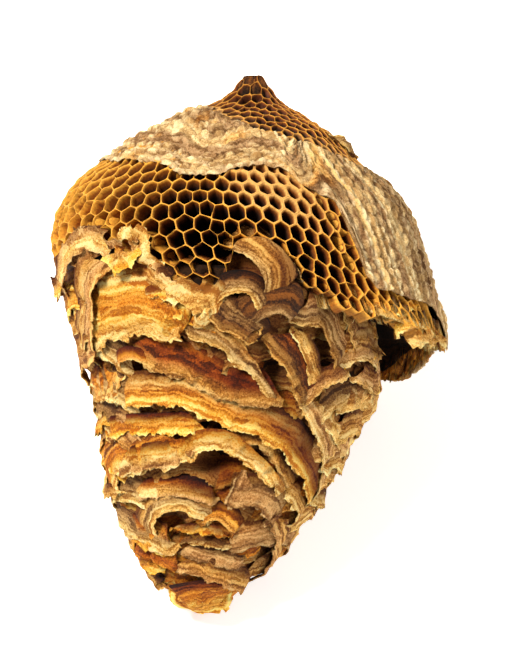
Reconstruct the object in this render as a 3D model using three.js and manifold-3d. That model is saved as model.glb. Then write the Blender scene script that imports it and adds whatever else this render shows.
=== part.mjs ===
// A paper wasp nest, lying on its back as it lies when picked from its branch. Millimetres, +Z up.
//
// The nest is described upright in its own frame and then laid down. In its own frame the tip is at
// height 0, the cut neck at NEST_LENGTH, the front is -Y, and +X is to the right of the front.
// An angle round the nest is 0 at the front and a quarter turn at +X.
import * as THREE from "three";
import { mergeVertices } from "three/addons/utils/BufferGeometryUtils.js";
import Module from "manifold-3d";

const wasm = await Module();
wasm.setup();

// ---- Driving dimensions ----
const NEST_LENGTH = 165; // tip to cut neck
const DEPTH_SHARE = 0.94; // front-to-back size as a share of the width
const CELL_PITCH = 6.6; // across one brood cell, wall to wall
const NECK_COLUMNS = 20; // smaller cells round the neck
const CELL_DEPTH = 9;
const DEEPEST = 1.4; // depth of the small cells as a share of their pitch
const BAND_CELLS = [80, 141]; // heights between which the comb's cells are open
const NECK_CELLS = [140, 158];
const CELL_OPEN_SHARE = 0.86; // mouth of a cell as a share of its pitch
const CELL_MARGIN = 0.6; // between a cell's centre and the paper round the comb, as a share of its pitch
const PAPER = 1.7; // how far the cap envelope stands above the comb
const CAP_LUMP = 0.6; // height of the cap's lumps
const COLLAR = 2.4; // how far the top sheets of the lower envelope stand above the comb
const GAP = 0.3; // between pieces that touch

// The skirt of the comb is cut off by a slanting plane: its height on the axis, slope and uphill angle.
const RIM_HEIGHT = 86.5;
const RIM_SLOPE = 0.26;
const RIM_UPHILL = THREE.MathUtils.degToRad(-25);
// The hollow under the skirt, between it and the lower envelope.
const SKIRT_WALL = 7;
const HOLLOW_CEILING = 97;

// How it lies: the axis leans this far from upright, the floor presses the back flat.
const LYING_TURN = THREE.MathUtils.degToRad(-59.7);
const FLOOR_BELOW_TIP = 6.7;
const REST_CENTRE = new THREE.Vector2(-0.37, 71.2); // what comes over the origin, from the tip

// Outlines as [height, centre, half width] up the nest.
const COMB_OUTLINE = [
  [68, 3.4, 54],
  [82, 3.4, 57],
  [97.5, -0.2, 56.2],
  [114, -5.1, 56.2],
  [125, -6.2, 52.6],
  [132.3, -6.8, 46.5],
  [139.7, -6, 38.3],
  [147, -4, 29.2],
  [152.6, -2.3, 19.2],
  [156.3, -0.5, 11.2],
  [160, 0.6, 6.6],
  [NEST_LENGTH, 0.8, 2.9],
];
const LOWER_OUTLINE = [
  [0, -11, 3],
  [3, -14, 8.6],
  [10.5, -13.7, 16.2],
  [21.5, -12.2, 24.5],
  [34.5, -10.2, 32],
  [49, -7.7, 37.8],
  [64, -4.8, 42.8],
  [80.6, -4.9, 45.8],
  [93, -6.2, 47.7],
  [112, -5, 44],
];
// Edges seen from the front, as [across, height].
const CAP_EDGE = [
  [-64, 128],
  [-52, 131],
  [-42, 138],
  [-30, 141],
  [-14, 138],
  [-6, 136],
  [12, 136],
  [24, 130],
  [30, 121],
  [33, 112],
  [38, 102],
  [48, 96],
  [64, 94],
];
const NECK_EDGE = [
  [-64, 162],
  [-14, 157],
  [0, 153],
  [10, 148],
  [18, 145],
  [28, 141],
  [64, 128],
];
const COLLAR_EDGE = [
  [-64, 110],
  [-54, 112],
  [-47, 120],
  [-33, 115],
  [-28, 108],
  [-16, 100],
  [-10, 101],
  [-5, 112],
  [4, 116],
  [12, 108],
  [22, 97],
  [38, 92],
];
const COLLAR_FOOT = [
  [-64, 96],
  [-54, 98],
  [-46, 92],
  [-38, 96],
  [-30, 90],
  [-14, 94],
  [0, 90],
  [12, 94],
  [24, 88],
  [38, 91],
];
const BELOW_ALL = [
  [-64, 20],
  [64, 20],
];
const WINDOW_RIGHT = 46; // the window in the cap ends this far to the right
const WINDOW_BACK = -4; // the window's depth, and at the left that of its side
const WINDOW_SIDE_BACK = 28;
const WINDOW_SIDE_RIGHT = -20;
const COLLAR_BACK = 8; // how far behind the axis the collar ends

// The lower envelope swells out towards the comb at the front.
const SWELL = 8;
const SWELL_FROM = 62;
const SWELL_TO = 102;
const SWELL_ANGLE = THREE.MathUtils.degToRad(-20);

// Shingled tiers of the lower envelope: height of each lip, with its arches round the nest.
const TIER_LIPS = [88, 79, 69.5, 60, 50.5, 41, 32, 23, 14.5, 7];
const ARCH_HEIGHT = 5.5;
const ARCH_WIDTH = 34;
const LIP_PROUD = 0.7; // a lip stands out this far from the outline
const TUCK_DEPTH = 3.2; // and the next tier starts this far inside it
const TUCK_RISE = 1.6;
const LOWER_TOP = [112, 100]; // plain rings inside the comb
const TIP_RING = 0.4;

// Facets round the comb, round the lower envelope and up the comb.
const COLUMNS = 36;
const LOWER_COLUMNS = 38;
const COMB_ROWS = 15;

const colour = (r, g, b) => new THREE.Color().setRGB(r, g, b, THREE.SRGBColorSpace);
const MATERIALS = {
  comb: new THREE.MeshStandardMaterial({ color: colour(0.62, 0.42, 0.17), roughness: 0.85, metalness: 0 }),
  cap: new THREE.MeshStandardMaterial({ color: colour(0.71, 0.63, 0.48), roughness: 0.95, metalness: 0 }),
  lower: new THREE.MeshStandardMaterial({ color: colour(0.74, 0.56, 0.32), roughness: 0.9, metalness: 0 }),
};

// ---- Curves ----

// Smooth curve through points whose first number rises: returns the other numbers at x.
function through(points, x) {
  const last = points.length - 1;
  let i = 0;
  while (i < last - 1 && x > points[i + 1][0]) i += 1;
  const [a, b] = [points[i], points[i + 1]];
  const span = b[0] - a[0];
  const t = THREE.MathUtils.clamp((x - a[0]) / span, 0, 1);
  const steepness = (n, k) => {
    const [low, high] = [points[Math.max(n - 1, 0)], points[Math.min(n + 1, last)]];
    return (high[k] - low[k]) / (high[0] - low[0]);
  };
  return a.slice(1).map((_, n) => {
    const k = n + 1;
    const rise = (2 * t ** 3 - 3 * t ** 2 + 1) * a[k] + (3 * t ** 2 - 2 * t ** 3) * b[k];
    const bend = (t ** 3 - 2 * t ** 2 + t) * steepness(i, k) + (t ** 3 - t ** 2) * steepness(i + 1, k);
    return rise + bend * span;
  });
}

const edgeAt = (edge, across) => through(edge, across)[0];

// Heights spaced evenly along an outline's own length, so that steep and flat stretches share rows.
function evenHeights(outline, rows) {
  const FINE = 240;
  const [low, high] = [outline[0][0], outline[outline.length - 1][0]];
  const travelled = [0];
  const heights = [low];
  for (let i = 1; i <= FINE; i += 1) {
    const h = low + ((high - low) * i) / FINE;
    const wider = through(outline, h)[1] - through(outline, heights[i - 1])[1];
    heights.push(h);
    travelled.push(travelled[i - 1] + Math.hypot(h - heights[i - 1], wider));
  }
  const even = [];
  for (let n = 0; n <= rows; n += 1) {
    const want = (travelled[FINE] * n) / rows;
    const i = Math.max(1, travelled.findIndex((d) => d >= want - 1e-9));
    const share = (want - travelled[i - 1]) / (travelled[i] - travelled[i - 1]);
    even.push(heights[i - 1] + (heights[i] - heights[i - 1]) * share);
  }
  return even;
}

// How fast an outline widens with height.
function slopeAt(outline, height) {
  const STEP = 0.5;
  return (through(outline, height + STEP)[1] - through(outline, height - STEP)[1]) / (2 * STEP);
}

// Point on an outline's surface, moved out by `proud` along the surface's own slope.
function surfacePoint(outline, angle, height, proud = 0) {
  const [centre, half] = through(outline, height);
  const slope = slopeAt(outline, height);
  const outward = proud / Math.hypot(1, slope);
  return new THREE.Vector3(
    centre + (half + outward) * Math.sin(angle),
    -(half * DEPTH_SHARE + outward) * Math.cos(angle),
    height - outward * slope,
  );
}

// ---- Solids ----

// A manifold solid from any closed three.js geometry.
function solid(geometry) {
  const bare = geometry.index ? geometry.toNonIndexed() : geometry.clone();
  bare.deleteAttribute("normal");
  bare.deleteAttribute("uv");
  const merged = mergeVertices(bare, 1e-4);
  return new wasm.Manifold(
    new wasm.Mesh({
      numProp: 3,
      vertProperties: merged.attributes.position.array,
      triVerts: new Uint32Array(merged.index.array),
    }),
  );
}

// A closed skin through rings of points, listed from the lowest ring to the highest.
function ringSolid(rings) {
  const columns = rings[0].length;
  const positions = rings.flat().flatMap((p) => p.toArray());
  const index = [];
  const at = (row, column) => row * columns + (column % columns);
  for (let row = 0; row + 1 < rings.length; row += 1) {
    for (let c = 0; c < columns; c += 1) {
      index.push(at(row, c), at(row, c + 1), at(row + 1, c + 1));
      index.push(at(row, c), at(row + 1, c + 1), at(row + 1, c));
    }
  }
  [rings[0], rings[rings.length - 1]].forEach((ring, end) => {
    const middle = positions.length / 3;
    const centre = ring.reduce((sum, p) => sum.add(p), new THREE.Vector3()).divideScalar(columns);
    positions.push(...centre.toArray());
    const row = end ? rings.length - 1 : 0;
    for (let c = 0; c < columns; c += 1) {
      index.push(...(end ? [at(row, c), at(row, c + 1), middle] : [at(row, c + 1), at(row, c), middle]));
    }
  });
  const geometry = new THREE.BufferGeometry();
  geometry.setAttribute("position", new THREE.Float32BufferAttribute(positions, 3));
  geometry.setIndex(index);
  return solid(geometry);
}

// The comb's outer form, moved out by `proud`, with lumps of height `lump` where paper is crumpled.
function combBlank(proud, lump = 0) {
  const heights = evenHeights(COMB_OUTLINE, COMB_ROWS);
  const lumpAt = (row, column) => lump * Math.sin(row * 2.4 + column * 1.7) * Math.sin(column * 2.1);
  const rings = heights.map((h, row) =>
    Array.from({ length: COLUMNS }, (_, c) =>
      surfacePoint(COMB_OUTLINE, (c / COLUMNS) * 2 * Math.PI, h, proud + lumpAt(row, c)),
    ),
  );
  rings[rings.length - 1].forEach((p) => p.setZ(NEST_LENGTH));
  return ringSolid(rings);
}

const TOOL = 400; // larger than the nest, for cutting tools

// Everything under the slanting rim plane, lowered by `lower`.
function underRim(lower = 0) {
  const box = new THREE.BoxGeometry(TOOL, TOOL, TOOL).translate(0, 0, -TOOL / 2);
  const uphill = new THREE.Vector3(Math.sin(RIM_UPHILL), -Math.cos(RIM_UPHILL), 0);
  const hingeLine = new THREE.Vector3().crossVectors(uphill, new THREE.Vector3(0, 0, 1));
  const turn = new THREE.Matrix4().makeRotationAxis(hingeLine.normalize(), Math.atan(RIM_SLOPE));
  return solid(box.applyMatrix4(turn).translate(0, 0, RIM_HEIGHT - lower));
}

// What lies between two front-view edges, from the nearest depth to the furthest.
function betweenEdges(top, foot, nearest, furthest, left = top[0][0], right = top[top.length - 1][0]) {
  const STEPS = 26;
  const shape = new THREE.Shape();
  const place = (i) => left + ((right - left) * i) / STEPS;
  shape.moveTo(left, edgeAt(foot, left));
  for (let i = 0; i <= STEPS; i += 1) shape.lineTo(place(i), edgeAt(top, place(i)));
  for (let i = STEPS; i > 0; i -= 1) shape.lineTo(place(i), edgeAt(foot, place(i)));
  shape.closePath();
  const slab = new THREE.ExtrudeGeometry(shape, { depth: furthest - nearest, bevelEnabled: false });
  // The shape's plane becomes the front view: its own Y is the height, and its depth runs backwards.
  return solid(slab.rotateX(Math.PI / 2).translate(0, furthest, 0));
}

function combBody(grow) {
  const inside = combBlank(-SKIRT_WALL - grow);
  const below = new THREE.BoxGeometry(TOOL, TOOL, TOOL).translate(0, 0, HOLLOW_CEILING - grow - TOOL / 2);
  const hollow = inside.intersect(solid(below));
  return combBlank(grow).subtract(underRim(grow)).subtract(hollow);
}

// ---- The comb's cells ----

// Rows of cells on the comb, each row as far from the next as its own cells are wide.
function cellRows(columns, lowest, highest) {
  const rows = [];
  let h = lowest;
  while (h < highest) {
    const [, half] = through(COMB_OUTLINE, h);
    const pitch = (2 * Math.PI * half) / columns;
    rows.push({ height: h, pitch, stagger: (rows.length % 2) / 2 });
    h += (pitch * Math.sqrt(3)) / 2 / Math.hypot(1, slopeAt(COMB_OUTLINE, h));
  }
  return rows.flatMap(({ height, pitch, stagger }) =>
    Array.from({ length: columns }, (_, c) => {
      const turn = ((c + stagger) / columns) * 2 * Math.PI;
      const angle = turn > Math.PI ? turn - 2 * Math.PI : turn;
      return { angle, height, pitch, point: surfacePoint(COMB_OUTLINE, angle, height) };
    }),
  );
}

const rimAt = (p) =>
  RIM_HEIGHT + RIM_SLOPE * (p.x * Math.sin(RIM_UPHILL) - p.y * Math.cos(RIM_UPHILL));

function openInBand({ point: p, pitch }) {
  const margin = pitch * CELL_MARGIN;
  const ahead = p.y < WINDOW_BACK || (p.y < WINDOW_SIDE_BACK - margin && p.x < WINDOW_SIDE_RIGHT);
  const underCap = p.z < edgeAt(CAP_EDGE, p.x) - margin && p.x < WINDOW_RIGHT - margin;
  const clearOfCollar = p.y > COLLAR_BACK || p.z > edgeAt(COLLAR_EDGE, p.x) + margin;
  return ahead && underCap && clearOfCollar && p.z > rimAt(p) + margin;
}

const openOnNeck = ({ point: p, pitch }) =>
  p.y < 0 && p.z > edgeAt(NECK_EDGE, p.x) + pitch * CELL_MARGIN && p.z < NECK_CELLS[1];

// A six-sided pit that narrows to a point, sunk along the comb's normal.
function cellPit({ angle, height, pitch, point }) {
  const mouth = (pitch / Math.sqrt(3)) * CELL_OPEN_SHARE;
  const depth = Math.min(CELL_DEPTH, pitch * DEEPEST);
  const OVERSHOOT = 1.2; // above the comb, so that the mouth is cut cleanly
  const pit = new THREE.ConeGeometry(mouth * (1 + OVERSHOOT / depth), depth + OVERSHOOT, 6);
  pit.rotateX(-Math.PI / 2).rotateZ(Math.PI / 2).translate(0, 0, (OVERSHOOT - depth) / 2);
  const outward = surfacePoint(COMB_OUTLINE, angle, height, 1).sub(point).normalize();
  const across = new THREE.Vector3(Math.cos(angle), Math.sin(angle), 0);
  const up = new THREE.Vector3().crossVectors(outward, across).normalize();
  const frame = new THREE.Matrix4().makeBasis(across.crossVectors(up, outward), up, outward);
  return solid(pit.applyMatrix4(frame.setPosition(point)));
}

function makeComb() {
  const girth = 2 * Math.PI * Math.max(...COMB_OUTLINE.map(([, , half]) => half));
  const band = cellRows(Math.round(girth / CELL_PITCH), ...BAND_CELLS).filter(openInBand);
  const neck = cellRows(NECK_COLUMNS, ...NECK_CELLS).filter(openOnNeck);
  const pits = [...band, ...neck].map(cellPit);
  return pits.reduce((comb, pit) => comb.subtract(pit), combBody(0));
}

// ---- The envelope ----

function makeCap() {
  const left = CAP_EDGE[0][0];
  const window = betweenEdges(CAP_EDGE, BELOW_ALL, -TOOL, WINDOW_BACK, left, WINDOW_RIGHT);
  const side = betweenEdges(CAP_EDGE, BELOW_ALL, WINDOW_BACK - 1, WINDOW_SIDE_BACK, left, WINDOW_SIDE_RIGHT);
  return combBlank(PAPER, CAP_LUMP)
    .subtract(underRim())
    .intersect(betweenEdges(NECK_EDGE, BELOW_ALL, -TOOL, TOOL))
    .subtract(combBlank(GAP))
    .subtract(window)
    .subtract(side);
}

// Lower edge of one tier's lip: arches that rise between cusps, staggered from tier to tier.
function lipHeight(tier, angle) {
  const [, half] = through(LOWER_OUTLINE, TIER_LIPS[tier]);
  const arches = Math.max(3, Math.round((2 * Math.PI * half) / ARCH_WIDTH));
  const rise = ARCH_HEIGHT * Math.min(1, half / ARCH_WIDTH);
  const phase = (angle * arches) / 2 + (tier % 2) * (Math.PI / 2);
  return TIER_LIPS[tier] + rise * (Math.abs(Math.sin(phase)) - 0.5);
}

function swellAt(angle, height) {
  const facing = Math.max(0, Math.cos(angle - SWELL_ANGLE));
  return SWELL * facing ** 2 * THREE.MathUtils.smoothstep(height, SWELL_FROM, SWELL_TO);
}

function lowerBlank() {
  const ring = (heightAt, proud) =>
    Array.from({ length: LOWER_COLUMNS }, (_, c) => {
      const angle = (c / LOWER_COLUMNS) * 2 * Math.PI;
      const height = heightAt(angle);
      return surfacePoint(LOWER_OUTLINE, angle, height, proud + swellAt(angle, height));
    });
  const rings = LOWER_TOP.map((height) => ring(() => height, 0));
  TIER_LIPS.forEach((_, tier) => {
    rings.push(ring((a) => lipHeight(tier, a), LIP_PROUD));
    rings.push(ring((a) => lipHeight(tier, a) + TUCK_RISE, -TUCK_DEPTH));
  });
  rings.push(ring(() => TIP_RING, 0));
  return ringSolid(rings.reverse());
}

function makeLower() {
  const collar = combBlank(COLLAR)
    .intersect(betweenEdges(COLLAR_EDGE, COLLAR_FOOT, -TOOL, COLLAR_BACK));
  return lowerBlank().add(collar).subtract(combBody(GAP));
}

// ---- Laying the nest down ----

const laid = new THREE.Matrix4()
  .makeTranslation(-REST_CENTRE.x, -REST_CENTRE.y, 0)
  .multiply(new THREE.Matrix4().makeTranslation(0, 0, FLOOR_BELOW_TIP))
  .multiply(new THREE.Matrix4().makeRotationX(LYING_TURN));

// The floor, brought into the nest's own frame.
function floorTool() {
  const slab = new THREE.BoxGeometry(TOOL, TOOL, TOOL).translate(0, 0, -TOOL / 2);
  return solid(slab.applyMatrix4(laid.clone().invert()));
}

function piece(name, shape, material) {
  const pressed = shape.subtract(floorTool());
  const whole = pressed.decompose().sort((a, b) => b.volume() - a.volume())[0];
  const mesh = whole.getMesh();
  const geometry = new THREE.BufferGeometry();
  geometry.setAttribute("position", new THREE.BufferAttribute(new Float32Array(mesh.vertProperties), 3));
  geometry.setIndex(new THREE.BufferAttribute(new Uint32Array(mesh.triVerts), 1));
  geometry.computeVertexNormals();
  const made = new THREE.Mesh(geometry, material);
  made.name = name;
  return made;
}

const nest = new THREE.Group();
nest.add(piece("comb", makeComb(), MATERIALS.comb));
nest.add(piece("cap_envelope", makeCap(), MATERIALS.cap));
nest.add(piece("lower_envelope", makeLower(), MATERIALS.lower));
laid.decompose(nest.position, nest.quaternion, nest.scale);

export default nest;
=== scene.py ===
"""A paper wasp nest lying on its back: brood cells, a torn pebbled cap and a cone of scalloped sheets.

Everything is measured in millimetres in the nest's own frame until a mesh is made. There the tip is at
height 0, the cut neck at NEST_LENGTH, the front is -Y and +X is to the right of the front. An angle round
the nest is 0 at the front and a quarter turn at +X. LaidDown turns that frame on to its back.
"""

import logging
import math
from dataclasses import dataclass, field
from enum import Enum
from itertools import product
from typing import Callable, Protocol

import bmesh
import bpy
import numpy as np
from mathutils import Matrix, Vector

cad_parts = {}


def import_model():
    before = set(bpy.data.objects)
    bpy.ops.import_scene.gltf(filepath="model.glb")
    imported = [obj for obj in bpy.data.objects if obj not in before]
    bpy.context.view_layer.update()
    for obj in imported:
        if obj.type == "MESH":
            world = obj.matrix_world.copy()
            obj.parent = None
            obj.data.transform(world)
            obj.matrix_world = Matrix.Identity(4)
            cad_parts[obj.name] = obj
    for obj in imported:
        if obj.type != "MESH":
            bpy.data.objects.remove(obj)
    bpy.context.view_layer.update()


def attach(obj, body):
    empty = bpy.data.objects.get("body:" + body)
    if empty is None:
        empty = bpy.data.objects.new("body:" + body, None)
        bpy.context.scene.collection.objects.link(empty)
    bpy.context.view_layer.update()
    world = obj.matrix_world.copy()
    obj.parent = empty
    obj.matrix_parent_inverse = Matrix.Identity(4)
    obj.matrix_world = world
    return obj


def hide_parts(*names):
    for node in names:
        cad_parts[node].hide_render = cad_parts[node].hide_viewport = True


LOG = logging.getLogger("nest")


# ---- Driving dimensions, millimetres, the same as the solids ----
NEST_LENGTH = 165.0
DEPTH_SHARE = 0.94
RIM_HEIGHT = 86.5
RIM_SLOPE = 0.26
RIM_UPHILL = math.radians(-25)
SKIRT_WALL = 7.0
HOLLOW_CEILING = 97.0
COMB_OUTLINE = (
    (68, 3.4, 54), (82, 3.4, 57), (97.5, -0.2, 56.2), (114, -5.1, 56.2), (125, -6.2, 52.6),
    (132.3, -6.8, 46.5), (139.7, -6, 38.3), (147, -4, 29.2), (152.6, -2.3, 19.2), (156.3, -0.5, 11.2),
    (160, 0.6, 6.6), (NEST_LENGTH, 0.8, 2.9),
)
LOWER_OUTLINE = (
    (0, -11, 3), (3, -14, 8.6), (10.5, -13.7, 16.2), (21.5, -12.2, 24.5), (34.5, -10.2, 32),
    (49, -7.7, 37.8), (64, -4.8, 42.8), (80.6, -4.9, 45.8), (93, -6.2, 47.7), (112, -5, 44),
)
SWELL = 8.0
SWELL_HEIGHTS = (62.0, 102.0)
SWELL_ANGLE = math.radians(-20)
COLLAR = 1.8
COLLAR_HEIGHTS = (86.0, 97.0)

# The cap's edge under the neck cells, seen from the front, as (across, height).
NECK_EDGE = (
    (-64, 162), (-14, 155.5), (-6.5, 151), (-2, 149.5), (4, 146.5), (10, 144.7), (19, 143.2), (25, 140.5),
    (30, 138), (64, 124),
)

# How the nest lies.
LYING_TURN = math.radians(-59.7)
FLOOR_BELOW_TIP = 6.7
REST_CENTRE = (-0.37, 71.2)
METRE = 1000.0

# The front view that the sheets' edges are drawn in: drawing units run right and down.
FRONT_UNIT = 0.3077  # millimetres in a drawing unit
FRONT_AXIS = 250.0  # where the nest's own axis stands
FRONT_FOOT = 612.0  # where height 0 stands
EYE_DISTANCE = 2000.0
AIM = (0.92, 0.0, 88.3)
FRAME_HEIGHT = 200.0  # what the view shows from top to bottom at the axis

# Flat charts and edges that several pieces share.
CHART_RADIUS = 56  # millimetres of flat chart for each radian round the comb
NECK_EDGE_END = 64  # how far the edge under the neck cells is drawn to each side
WINDOW_LEFT = (-2.8, -1.75)  # the cap's edge rises from the rim between these angles, at the back left
WINDOW_RIGHT = (1.62, 1.38)  # and comes down to it between these, at the right

Points = np.ndarray
Colour = tuple[float, float, float]
Stroke = tuple[tuple[float, float], ...]


def srgb(red: int, green: int, blue: int) -> Colour:
    """Linear colour from screen values of 0 to 255."""
    return tuple(((c / 255 + 0.055) / 1.055) ** 2.4 if c > 10 else c / 3294.6 for c in (red, green, blue))


def smoothstep(x: Points, low: float, high: float) -> Points:
    """Rises smoothly from 0 at low to 1 at high; falls if low is above high."""
    t = np.clip((x - low) / (high - low), 0, 1)
    return t * t * (3 - 2 * t)


class Curve:
    """Smooth curve through points whose first number rises."""

    def __init__(self, points: tuple[tuple[float, ...], ...]) -> None:
        """Keeps the points and their steepness from neighbour to neighbour.

        Args:
            points: each point's x, and then its values.
        """
        table = np.array(points, float)
        self.x, self.values = table[:, 0], table[:, 1:]
        before = np.maximum(np.arange(len(self.x)) - 1, 0)
        after = np.minimum(np.arange(len(self.x)) + 1, len(self.x) - 1)
        self.steep = (self.values[after] - self.values[before]) / (self.x[after] - self.x[before])[:, None]

    def at(self, x: Points) -> Points:
        """The curve's values at x.

        Args:
            x: where to read the curve, in any shape.

        Returns:
            An array of x's shape with the curve's values along a last axis.
        """
        x = np.asarray(x, float)
        i = np.clip(np.searchsorted(self.x, x, side="right") - 1, 0, len(self.x) - 2)
        span = (self.x[i + 1] - self.x[i])[..., None]
        t = np.clip((x - self.x[i])[..., None] / span, 0, 1)
        rise = (2 * t**3 - 3 * t**2 + 1) * self.values[i] + (3 * t**2 - 2 * t**3) * self.values[i + 1]
        bend = (t**3 - 2 * t**2 + t) * self.steep[i] + (t**3 - t**2) * self.steep[i + 1]
        return rise + bend * span


class Noise:
    """Seeded smooth noise in space, between -1 and 1."""

    SIZE = 4096
    PRIMES = (73856093, 19349663, 83492791)

    def __init__(self, seed: int) -> None:
        """Fills the table of random values."""
        self.table = np.random.default_rng(seed).uniform(-1, 1, self.SIZE)

    def at(self, points: Points, size: float) -> Points:
        """Smooth noise whose lumps are about size across.

        Args:
            points: places, with 2 or 3 numbers along the last axis.
            size: width of a lump, in the points' own unit.

        Returns:
            One value for each place.
        """
        p = np.asarray(points, float) / size
        base = np.floor(p).astype(np.int64)
        t = p - base
        t = t * t * (3 - 2 * t)
        total = np.zeros(p.shape[:-1])
        count = p.shape[-1]
        for corner in range(2**count):
            weight = np.ones(p.shape[:-1])
            key = np.zeros(p.shape[:-1], np.int64)
            for axis in range(count):
                bit = corner >> axis & 1
                weight = weight * (t[..., axis] if bit else 1 - t[..., axis])
                key = key ^ ((base[..., axis] + bit) * self.PRIMES[axis])
            total += weight * self.table[(key ^ key >> 13) & (self.SIZE - 1)]
        return total

    def rough(self, points: Points, size: float, octaves: int = 3) -> Points:
        """Noise with finer noise on it, each half as wide and half as strong."""
        parts = (self.at(np.asarray(points) + 17.3 * n, size / 2**n) / 2**n for n in range(octaves))
        return sum(parts) / (2 - 2.0 ** (1 - octaves))

    def pebbles(self, points: Points, size: float) -> tuple[Points, Points]:
        """Rounded pebbles that fill a plane or space.

        Args:
            points: places, with 2 or 3 numbers along the last axis.
            size: spacing of the pebbles.

        Returns:
            The height of each place, 1 on a pebble's top and 0 in the grooves, and its pebble's own value.
        """
        p = np.asarray(points, float) / size
        base = np.floor(p).astype(np.int64)
        nearest = np.full(p.shape[:-1], 9.0)
        second = np.full(p.shape[:-1], 9.0)
        value = np.zeros(p.shape[:-1])
        primes = np.array(self.PRIMES[:p.shape[-1]])
        for offset in product((-1, 0, 1), repeat=p.shape[-1]):
            cell = base + offset
            key = np.bitwise_xor.reduce(cell * primes, axis=-1)
            key = (key ^ key >> 11) & (self.SIZE - 1)
            seat = cell + 0.5 + 0.42 * np.stack([self.table[key - n] for n in range(p.shape[-1])], -1)
            away = np.linalg.norm(p - seat, axis=-1)
            closer = away < nearest
            second = np.where(closer, nearest, np.minimum(second, away))
            value = np.where(closer, self.table[key - 3], value)
            nearest = np.where(closer, away, nearest)
        return np.clip((second - nearest) * 1.6, 0, 1) ** 0.6, value


# ---- Forms that the paper lies on ----


class Form(Protocol):
    """A surface round the nest, read by angle and height."""

    def base(self, angle: Points, height: Points) -> Points:
        """Points of the surface."""


def lifted(form: Form, angle: Points, height: Points, proud: Points | float) -> Points:
    """Points of a form moved out along its own normal.

    Args:
        form: the surface.
        angle: angles round the nest.
        height: heights up the nest.
        proud: how far out, in millimetres; negative is inwards.

    Returns:
        The points, with x, y and z along the last axis.
    """
    along, up = slopes(form, angle, height)
    normal = unit(np.cross(along, up))
    return form.base(angle, height) + normal * np.broadcast_to(proud, np.shape(angle))[..., None]


def unit(vectors: Points) -> Points:
    """Vectors made one long."""
    return vectors / np.maximum(np.linalg.norm(vectors, axis=-1, keepdims=True), 1e-9)


def slopes(form: Form, angle: Points, height: Points) -> tuple[Points, Points]:
    """How a form's points move for each radian round it and each millimetre up it.

    Args:
        form: the surface.
        angle: angles round the nest.
        height: heights up the nest.

    Returns:
        The movement for a radian, and the movement for a millimetre.
    """
    turn, rise = 0.01, 0.3
    along = (form.base(angle + turn, height) - form.base(angle - turn, height)) / (2 * turn)
    up = (form.base(angle, height + rise) - form.base(angle, height - rise)) / (2 * rise)
    return along, up


class CombForm:
    """The dome of brood cells, its skirt and its neck."""

    def __init__(self) -> None:
        """Reads the outline."""
        self.outline = Curve(COMB_OUTLINE)

    def base(self, angle: Points, height: Points) -> Points:
        """Points of the comb's surface.

        Args:
            angle: angles round the nest.
            height: heights up the nest.

        Returns:
            One point for each place.
        """
        centre, half = np.moveaxis(self.outline.at(height), -1, 0)
        x = centre + half * np.sin(angle)
        y = -half * DEPTH_SHARE * np.cos(angle)
        return np.stack(np.broadcast_arrays(x, y, height), -1).astype(float)


class LowerForm:
    """The hanging cone, which swells out to meet the comb at the front and left."""

    def __init__(self, comb: CombForm) -> None:
        """Keeps the comb, against which the collar lies."""
        self.outline = Curve(LOWER_OUTLINE)
        self.comb = comb

    def base(self, angle: Points, height: Points) -> Points:
        """Points of the lower envelope's surface.

        Args:
            angle: angles round the nest.
            height: heights up the nest.

        Returns:
            One point for each place.
        """
        centre, half = np.moveaxis(self.outline.at(height), -1, 0)
        facing = np.maximum(0, np.cos(angle - SWELL_ANGLE)) ** 2
        swell = SWELL * facing * smoothstep(height, *SWELL_HEIGHTS)
        x = centre + (half + swell) * np.sin(angle)
        y = -(half * DEPTH_SHARE + swell) * np.cos(angle)
        cone = np.stack(np.broadcast_arrays(x, y, height), -1).astype(float)
        outward = np.stack(np.broadcast_arrays(np.sin(angle), -np.cos(angle), 0 * height), -1)
        short = np.sum((self.comb.base(angle, height) - cone) * outward, -1) + COLLAR
        reach = smoothstep(angle, -2.0, -1.6) * smoothstep(angle, 0.62, 0.35)
        push = np.maximum(0, short) * reach * smoothstep(height, *COLLAR_HEIGHTS)
        return cone + outward * push[..., None]


def rim_height(form: Form, angle: Points) -> Points:
    """Height of the slanting rim of the skirt at each angle.

    Args:
        form: the comb.
        angle: angles round the nest.

    Returns:
        One height for each angle.
    """
    p = form.base(angle, np.full(np.shape(angle), RIM_HEIGHT))
    slanting = RIM_HEIGHT + RIM_SLOPE * (p[..., 0] * math.sin(RIM_UPHILL) - p[..., 1] * math.cos(RIM_UPHILL))
    torn = 5.5 * np.exp(-((angle - 1.86) / 0.2) ** 2) - 2.5 * np.exp(-((angle - 2.25) / 0.16) ** 2)
    return slanting + torn


def traced(form: Form, stroke: Stroke) -> Points:
    """Lays a stroke of the front drawing on a form's front.

    Args:
        form: the surface to lay it on.
        stroke: points in drawing units, right and down.

    Returns:
        The angle and height of each point.
    """
    drawn = np.array(stroke, float)
    flat_x = (drawn[:, 0] - FRONT_AXIS) * FRONT_UNIT
    flat_h = (FRONT_FOOT - drawn[:, 1]) * FRONT_UNIT
    depth = np.zeros(len(drawn))
    angle = np.zeros(len(drawn))
    height = flat_h.copy()
    for _ in range(4):
        share = 1 + depth / EYE_DISTANCE
        want_x = AIM[0] + (flat_x - AIM[0]) * share
        want_h = AIM[2] + (flat_h - AIM[2]) * share
        low = np.full(len(drawn), -1.5)
        high = np.full(len(drawn), 1.5)
        for _ in range(24):
            angle = (low + high) / 2
            right = form.base(angle, height)[:, 0] < want_x
            low, high = np.where(right, angle, low), np.where(right, high, angle)
        place = form.base(angle, height)
        height = height + want_h - place[:, 2]
        depth = place[:, 1]
    return np.stack([angle, height], -1)


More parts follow.
